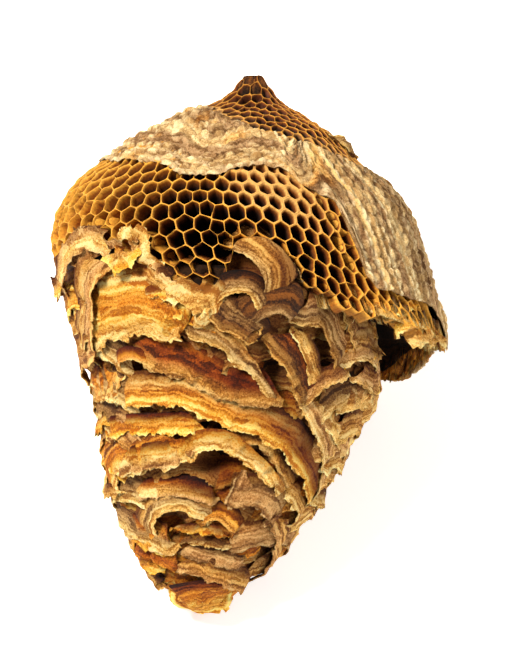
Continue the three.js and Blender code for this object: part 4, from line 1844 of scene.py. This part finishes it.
    def add(self, skin: Skin, sheet: Sheet, edge: Points,
            deeper: Callable[[Points], Points] | None = None) -> None:
        """Adds one strip to a skin.

        Args:
            skin: what to add it to.
            sheet: its sizes and tones.
            edge: its free edge as angle and height.
            deeper: how far a place is pushed in, for strips that lie under others.
        """
        self.grown += 1
        even = self.evenly(edge)
        run = np.arange(len(even)) * self.step
        paths = self.grow(even, sheet.reach)
        cut = self.torn(sheet, run)
        away = self.reached(sheet, run, cut, len(paths))
        rows = self.read_paths(paths, away / self.row_step)
        base = self.form.base(rows[..., 0], rows[..., 1])
        proud = self.relief(sheet, run, cut, away, base)
        if deeper is not None:
            proud = proud - deeper(base)
        if not sheet.over_comb:
            proud = proud - self.under_comb(base)
        under = self.underside(rows, proud)
        grid = np.concatenate([under, lifted(self.form, rows[..., 0], rows[..., 1], proud)], 0)
        away = np.concatenate([np.repeat(away[:1], len(under), 0), away], 0)
        band = away * (1 - 0.5 * min(sheet.lumpy, 1.0))
        seed = np.full(away.shape, (self.grown * self.SEED_STEP) % 1)
        grain = np.stack([band, np.broadcast_to(run, away.shape), seed], -1)
        # Painted highlight and shade multiply the stripe colours.
        shade = self.shade(sheet, run, away, len(under))[..., None]
        tone = toned(sheet.tones, np.clip(away / sheet.reach, 0, 1))
        tone = {key: value * shade**self.WARM_SHADE for key, value in tone.items()}
        # Strips that lie under others take painted shade.
        if deeper is not None:
            tone = self.painted_deep_shade(tone, grid, deeper)
        skin.add_grid(grid, False, grain=grain, **tone)

    @staticmethod
    def under_comb(base: Points) -> Points:
        """How far a strip is pushed in where the comb stands over it.

        Args:
            base: places on the lower form.

        Returns:
            One distance for each place.
        """
        across, down = front_spot(base)
        over = Curve(COMB_FOOT).at(across)[..., 0] - down
        hollow = 2.6 * smoothstep(across, 364, 378) * smoothstep(down, 358, 345)
        return np.maximum(hollow, 7.0 * smoothstep(over, -1, 7) * (base[..., 1] < 0))

    @staticmethod
    def read_paths(paths: Points, steps: Points) -> Points:
        """Reads each column's path at fractional steps.

        Args:
            paths: the grown rows.
            steps: which step to read, by row and column.

        Returns:
            The angle and height at each step.
        """
        steps = np.clip(steps, 0, len(paths) - 1.001)
        low = steps.astype(int)
        part = (steps - low)[..., None]
        column = np.broadcast_to(np.arange(paths.shape[1]), low.shape)
        return paths[low, column] * (1 - part) + paths[low + 1, column] * part

    def underside(self, rows: Points, proud: Points) -> Points:
        """Rows that turn under the free edge, from the hidden one to the edge."""
        turned = ((min(6, len(rows) - 1), 1.0), (3, 0.75), (1, 0.5), (0, 0.3))
        return np.stack([lifted(self.form, rows[row, :, 0], rows[row, :, 1], proud[row] - thick)
                         for row, thick in turned])

    @staticmethod
    def painted_deep_shade(tone: dict[str, Points], grid: Points,
                 deeper: Callable[[Points], Points]) -> dict[str, Points]:
        """Stripe colours dimmed by painted shade: by about a half for every under strip, and nearly to black
        deep in a pocket.
        """
        dim = 0.55 * (1 - 0.85 * np.clip(deeper(grid) / POCKET_DEPTH, 0, 1))[..., None]
        return {key: value * dim**SheetBuilder.WARM_SHADE for key, value in tone.items()}


@dataclass
class LowerEnvelope:
    """The hanging cone: an inner wall painted dark as shade, the strips drawn on its front and more on its
    sides and back.
    """

    form: LowerForm
    laid: LaidDown
    paper: bpy.types.Material
    row_gap: float = 7.2
    arch: float = 24.0
    made: list[bpy.types.Object] = field(default_factory=list)
    POCKET_SPREAD = 1.15  # how far the slope of a pocket runs past its drawn size
    MOODS = ((C, T, G), (T, P, G), (Y, O, T), (C, P, T), (T, O, R), (G, P, T), (C, G, B))

    def __post_init__(self) -> None:
        """Lays the pockets on the form."""
        middles = traced(self.form, tuple((p.x, p.y) for p in POCKETS))
        self.hollows = self.form.base(middles[:, 0], middles[:, 1])

    def deeper(self, points: Points) -> Points:
        """How far the under layers are pushed in by the pockets.

        Args:
            points: places on the lower form.

        Returns:
            One distance for each place.
        """
        depth = np.zeros(points.shape[:-1])
        for pocket, middle in zip(POCKETS, self.hollows):
            across = np.hypot(points[..., 0] - middle[0], 0.6 * (points[..., 1] - middle[1]))
            wide = across / (pocket.half_width * FRONT_UNIT * self.POCKET_SPREAD)
            tall = (points[..., 2] - middle[2]) / (pocket.half_height * FRONT_UNIT * self.POCKET_SPREAD)
            depth = np.maximum(depth, POCKET_DEPTH * np.exp(-(wide**2 + tall**2) ** 1.5))
        return depth

    def finish(self, skin: Skin, name: str) -> None:
        """Makes a piece of a skin and dresses it.

        Args:
            skin: the gathered mesh.
            name: the piece's name.
        """
        piece = skin.make(name, self.laid)
        piece.data.materials.append(self.paper)
        self.made.append(piece)

    def inner_wall(self) -> None:
        """The wall behind all the sheets, painted dark as shade for the gaps between them."""
        noise = Noise(41)
        columns = 240
        angle = np.linspace(-math.pi, math.pi, columns, endpoint=False)[None]
        height = np.linspace(0.8, 106, 120)[:, None]
        height, angle = np.broadcast_arrays(height, angle)
        base = self.form.base(angle, height)
        proud = -4.2 + 0.9 * noise.rough(base, 6.0) - self.deeper(base) * 0.9
        proud = np.maximum(proud, -0.35 * np.maximum(Curve(LOWER_OUTLINE).at(height)[..., 1], 2.0) - 3.0)
        proud = proud * (0.3 + 0.7 * smoothstep(height, 6.0, 16.0))
        grid = lifted(self.form, angle, height, proud)
        skin = Skin()
        grain = np.stack([height * 0.8, angle * 30, 0.7 + 0 * height], -1)
        # Dark brown rising from ochre near the tip; its darkness is painted shade for the gaps between the
        # strips.
        tone = toned((Tone.OCHRE, Tone.BROWN, Tone.BROWN, Tone.PAINTED_SHADE), smoothstep(height, 4, 40))
        skin.add_grid(grid, True, grain=grain, **tone)
        start = skin.count
        foot = np.array([[grid[0, :, 0].mean(), grid[0, :, 1].mean(), 0.4]])
        number = np.arange(columns)
        fan = np.stack([(number + 1) % columns, number, np.full(columns, start)], -1)
        skin.add(foot, [], grain=np.zeros((1, 3)), **toned((Tone.RUST,), np.zeros(1)))
        skin.faces.append(fan)
        self.finish(skin, "inner_wall")

    def drawn(self, name: str, sheets: tuple[Sheet, ...], builder: SheetBuilder) -> None:
        """A piece of the strips that are drawn on the front.

        Args:
            name: the piece's name.
            sheets: its strips.
            builder: what grows them.
        """
        skin = Skin()
        for sheet in sheets:
            builder.add(skin, sheet, traced(self.form, sheet.edge))
        self.finish(skin, name)

    def arch_edge(self, rng: np.random.Generator, middle: float, wide: float, height: float,
                  half: float) -> Points:
        """The free edge of one arched strip.

        Args:
            rng: what its variation is drawn from.
            middle: the angle of its middle.
            wide: its share of the turn, in radians.
            height: the height of its row.
            half: half of the nest's width there.

        Returns:
            The angle and height of each point.
        """
        wide = wide * rng.uniform(1.05, 1.35)
        rise = rng.uniform(3.5, 8.5) * min(1, half / 26)
        t = np.linspace(-1, 1, 15)
        bow = (1 - np.abs(t) ** rng.uniform(1.8, 3.2)) ** 0.75
        top = height + rise * bow - 0.4 * rise + rng.uniform(-1.4, 1.4)
        top = top + 0.12 * rise * t * rng.uniform(-1, 1)
        return np.stack([middle + wide * t / 2, np.clip(top, 1.2, 108)], -1)

    def arches(self, name: str, turns: tuple[float, float], builder: SheetBuilder, lift: float,
               heights: tuple[float, float], seed: int, under: bool = False) -> None:
        """A piece of staggered arched strips.

        Args:
            name: the piece's name.
            turns: the angles that it fills.
            builder: what grows the strips.
            lift: how far their free edges stand out.
            heights: the lowest and highest rows.
            seed: start of their variation.
            under: whether they lie under the drawn strips.
        """
        rng = np.random.default_rng(seed)
        skin = Skin()
        height, row = heights[0], 0
        turned = turns[1] - turns[0]
        while height < heights[1]:
            half = float(Curve(LOWER_OUTLINE).at(np.array(height))[1])
            count = max(1, round(half * turned / min(self.arch, half * 1.6)))
            for n in range(count + 1):
                middle = turns[0] + (n + 0.5 * (row % 2) + rng.uniform(-0.12, 0.12)) * turned / count
                edge = self.arch_edge(rng, middle, turned / count, height, half)
                if turns[0] - 0.1 <= middle <= turns[1] + 0.1:
                    builder.add(skin, self.arch_sheet(rng, lift), edge, self.deeper if under else None)
            height += self.row_gap * rng.uniform(0.85, 1.1) * (0.75 + 0.25 * min(1, half / 30))
            row += 1
        self.finish(skin, name)

    def arch_sheet(self, rng: np.random.Generator, lift: float) -> Sheet:
        """The sizes and tones of one arched strip."""
        tones = self.MOODS[rng.integers(len(self.MOODS))]
        return Sheet((), self.row_gap * rng.uniform(1.5, 1.9), tones, lift + rng.uniform(-0.3, 0.4), 2.8,
                     rng.uniform(0.5, 1.0), 0.3)

    def build(self) -> list[bpy.types.Object]:
        """Builds every piece of the lower envelope.

        Returns:
            The pieces.
        """
        fine = SheetBuilder(self.form)
        coarse = SheetBuilder(self.form, 0.9, 1.1, Noise(32), 400)
        self.inner_wall()
        self.drawn("crown_sheets", CROWN_SHEETS, fine)
        self.drawn("waist_sheets", WAIST_SHEETS, fine)
        self.drawn("belly_sheets", BELLY_SHEETS, fine)
        self.drawn("tip_sheets", TIP_SHEETS, fine)
        self.arches("under_sheets", (-1.35, 1.35), coarse, -1.7, (6, 98), 51, True)
        self.arches("left_sheets", (-math.pi, -1.12), coarse, 0.5, (5, 90), 52)
        self.arches("right_sheets", (1.1, math.pi), coarse, 0.5, (5, 92), 53)
        return self.made


# ---- Studio ----


@dataclass
class Studio:
    """Camera, plain pale floor and soft light."""

    laid: LaidDown
    key: float = 15.6
    fill: float = 6.8
    ambient: float = 0.36
    floor_glow: float = 0.45
    lamp_distance: float = 0.9
    # Towards each lamp, as right, up and out of the front view.
    KEY_DIRECTION = (-0.5, 0.44, 0.84)
    FILL_DIRECTION = (0.95, 0.15, 0.6)
    TILT = math.pi / 2 + LYING_TURN
    SENSOR = 24.0

    def aim(self) -> Vector:
        """The point that the camera and lights face."""
        return Vector(self.laid.place(np.array([AIM], float))[0])

    def camera(self) -> None:
        """A long lens square to the nest's own axis."""
        data = bpy.data.cameras.new("camera")
        data.sensor_fit = "VERTICAL"
        data.sensor_height = self.SENSOR
        data.lens = self.SENSOR * EYE_DISTANCE / FRAME_HEIGHT
        data.clip_end = 20.0
        eye = bpy.data.objects.new("camera", data)
        eye.rotation_euler = (self.TILT, 0, 0)
        eye.location = self.aim() + self.axes()[2] * (EYE_DISTANCE / METRE)
        bpy.context.scene.collection.objects.link(eye)
        bpy.context.scene.camera = eye

    def axes(self) -> tuple[Vector, Vector, Vector]:
        """The ways right, up and out of the front view."""
        sine, cosine = math.sin(self.TILT), math.cos(self.TILT)
        return Vector((1, 0, 0)), Vector((0, cosine, sine)), Vector((0, -sine, cosine))

    def lamp(self, name: str, direction: tuple[float, float, float], power: float, size: float,
             tint: Colour) -> None:
        """A square soft light that faces the nest.

        Args:
            name: its name.
            direction: towards it, as right, up and out of the front view.
            power: in watts.
            size: in metres.
            tint: its colour.
        """
        right, up, out = self.axes()
        towards = (right * direction[0] + up * direction[1] + out * direction[2]).normalized()
        data = bpy.data.lights.new(name, "AREA")
        data.energy, data.size, data.color = power, size, tint
        lamp = bpy.data.objects.new(name, data)
        lamp.location = self.aim() + towards * self.lamp_distance
        lamp.rotation_euler = towards.to_track_quat("Z", "Y").to_euler()
        bpy.context.scene.collection.objects.link(lamp)

    def floor(self) -> None:
        """A wide pale floor."""
        shape = bmesh.new()
        bmesh.ops.create_grid(shape, x_segments=1, y_segments=1, size=6)
        mesh = bpy.data.meshes.new("floor")
        shape.to_mesh(mesh)
        shape.free()
        g = Graph("pale_floor")
        g.shader.inputs["Base Color"].default_value = (0.9, 0.9, 0.9, 1)
        g.shader.inputs["Emission Color"].default_value = (1, 1, 1, 1)
        g.shader.inputs["Emission Strength"].default_value = self.floor_glow
        g.shader.inputs["Roughness"].default_value = 0.9
        mesh.materials.append(g.material)
        plane = bpy.data.objects.new("floor", mesh)
        plane.location.z = -0.0002
        bpy.context.scene.collection.objects.link(plane)

    def build(self) -> None:
        """Sets up the whole studio."""
        bpy.context.scene.view_settings.view_transform = "Standard"
        self.camera()
        self.floor()
        world = bpy.data.worlds.new("studio")
        bpy.context.scene.world = world
        world.use_nodes = True
        background = world.node_tree.nodes["Background"]
        background.inputs["Color"].default_value = (1.0, 0.97, 0.92, 1)
        background.inputs["Strength"].default_value = self.ambient
        self.lamp("key", self.KEY_DIRECTION, self.key, 0.22, (1.0, 0.94, 0.85))
        self.lamp("fill", self.FILL_DIRECTION, self.fill, 0.9, (1.0, 0.97, 0.93))


def main() -> None:
    """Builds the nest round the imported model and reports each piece."""
    logging.basicConfig(level=logging.INFO, format="%(name)s %(message)s")
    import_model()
    laid = LaidDown()
    comb_form = CombForm()
    lower_form = LowerForm(comb_form)
    Studio(laid).build()

    striped = StripedPaper("striped_paper").make()
    pebbled = StripedPaper("pebbled_paper", 0.6, 1.0, 0.4, 0.6, 0.95, 0.8).make()
    cells = CellPaper("cell_paper").make()
    comb = BroodComb(comb_form, laid)
    comb_pieces = [comb.brood(), comb.neck(), comb.stem(striped), comb.skirt(striped), comb.shreds(striped)]
    for piece in comb_pieces[:2]:
        piece.data.materials.append(cells)
    cap_pieces = [CapPaper(comb_form, laid).make(pebbled)]
    lower_pieces = LowerEnvelope(lower_form, laid, striped).build()

    groups = (
        (comb_pieces, "comb", "comb_paper"),
        (cap_pieces, "cap_envelope", "cap_paper"),
        (lower_pieces, "lower_envelope", "envelope_paper"),
    )
    for pieces, node, slot in groups:
        for piece in pieces:
            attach(piece, "root")
            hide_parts(node)
            LOG.info("%s stands for %s", piece.name, node)


if __name__ == "__main__":
    main()
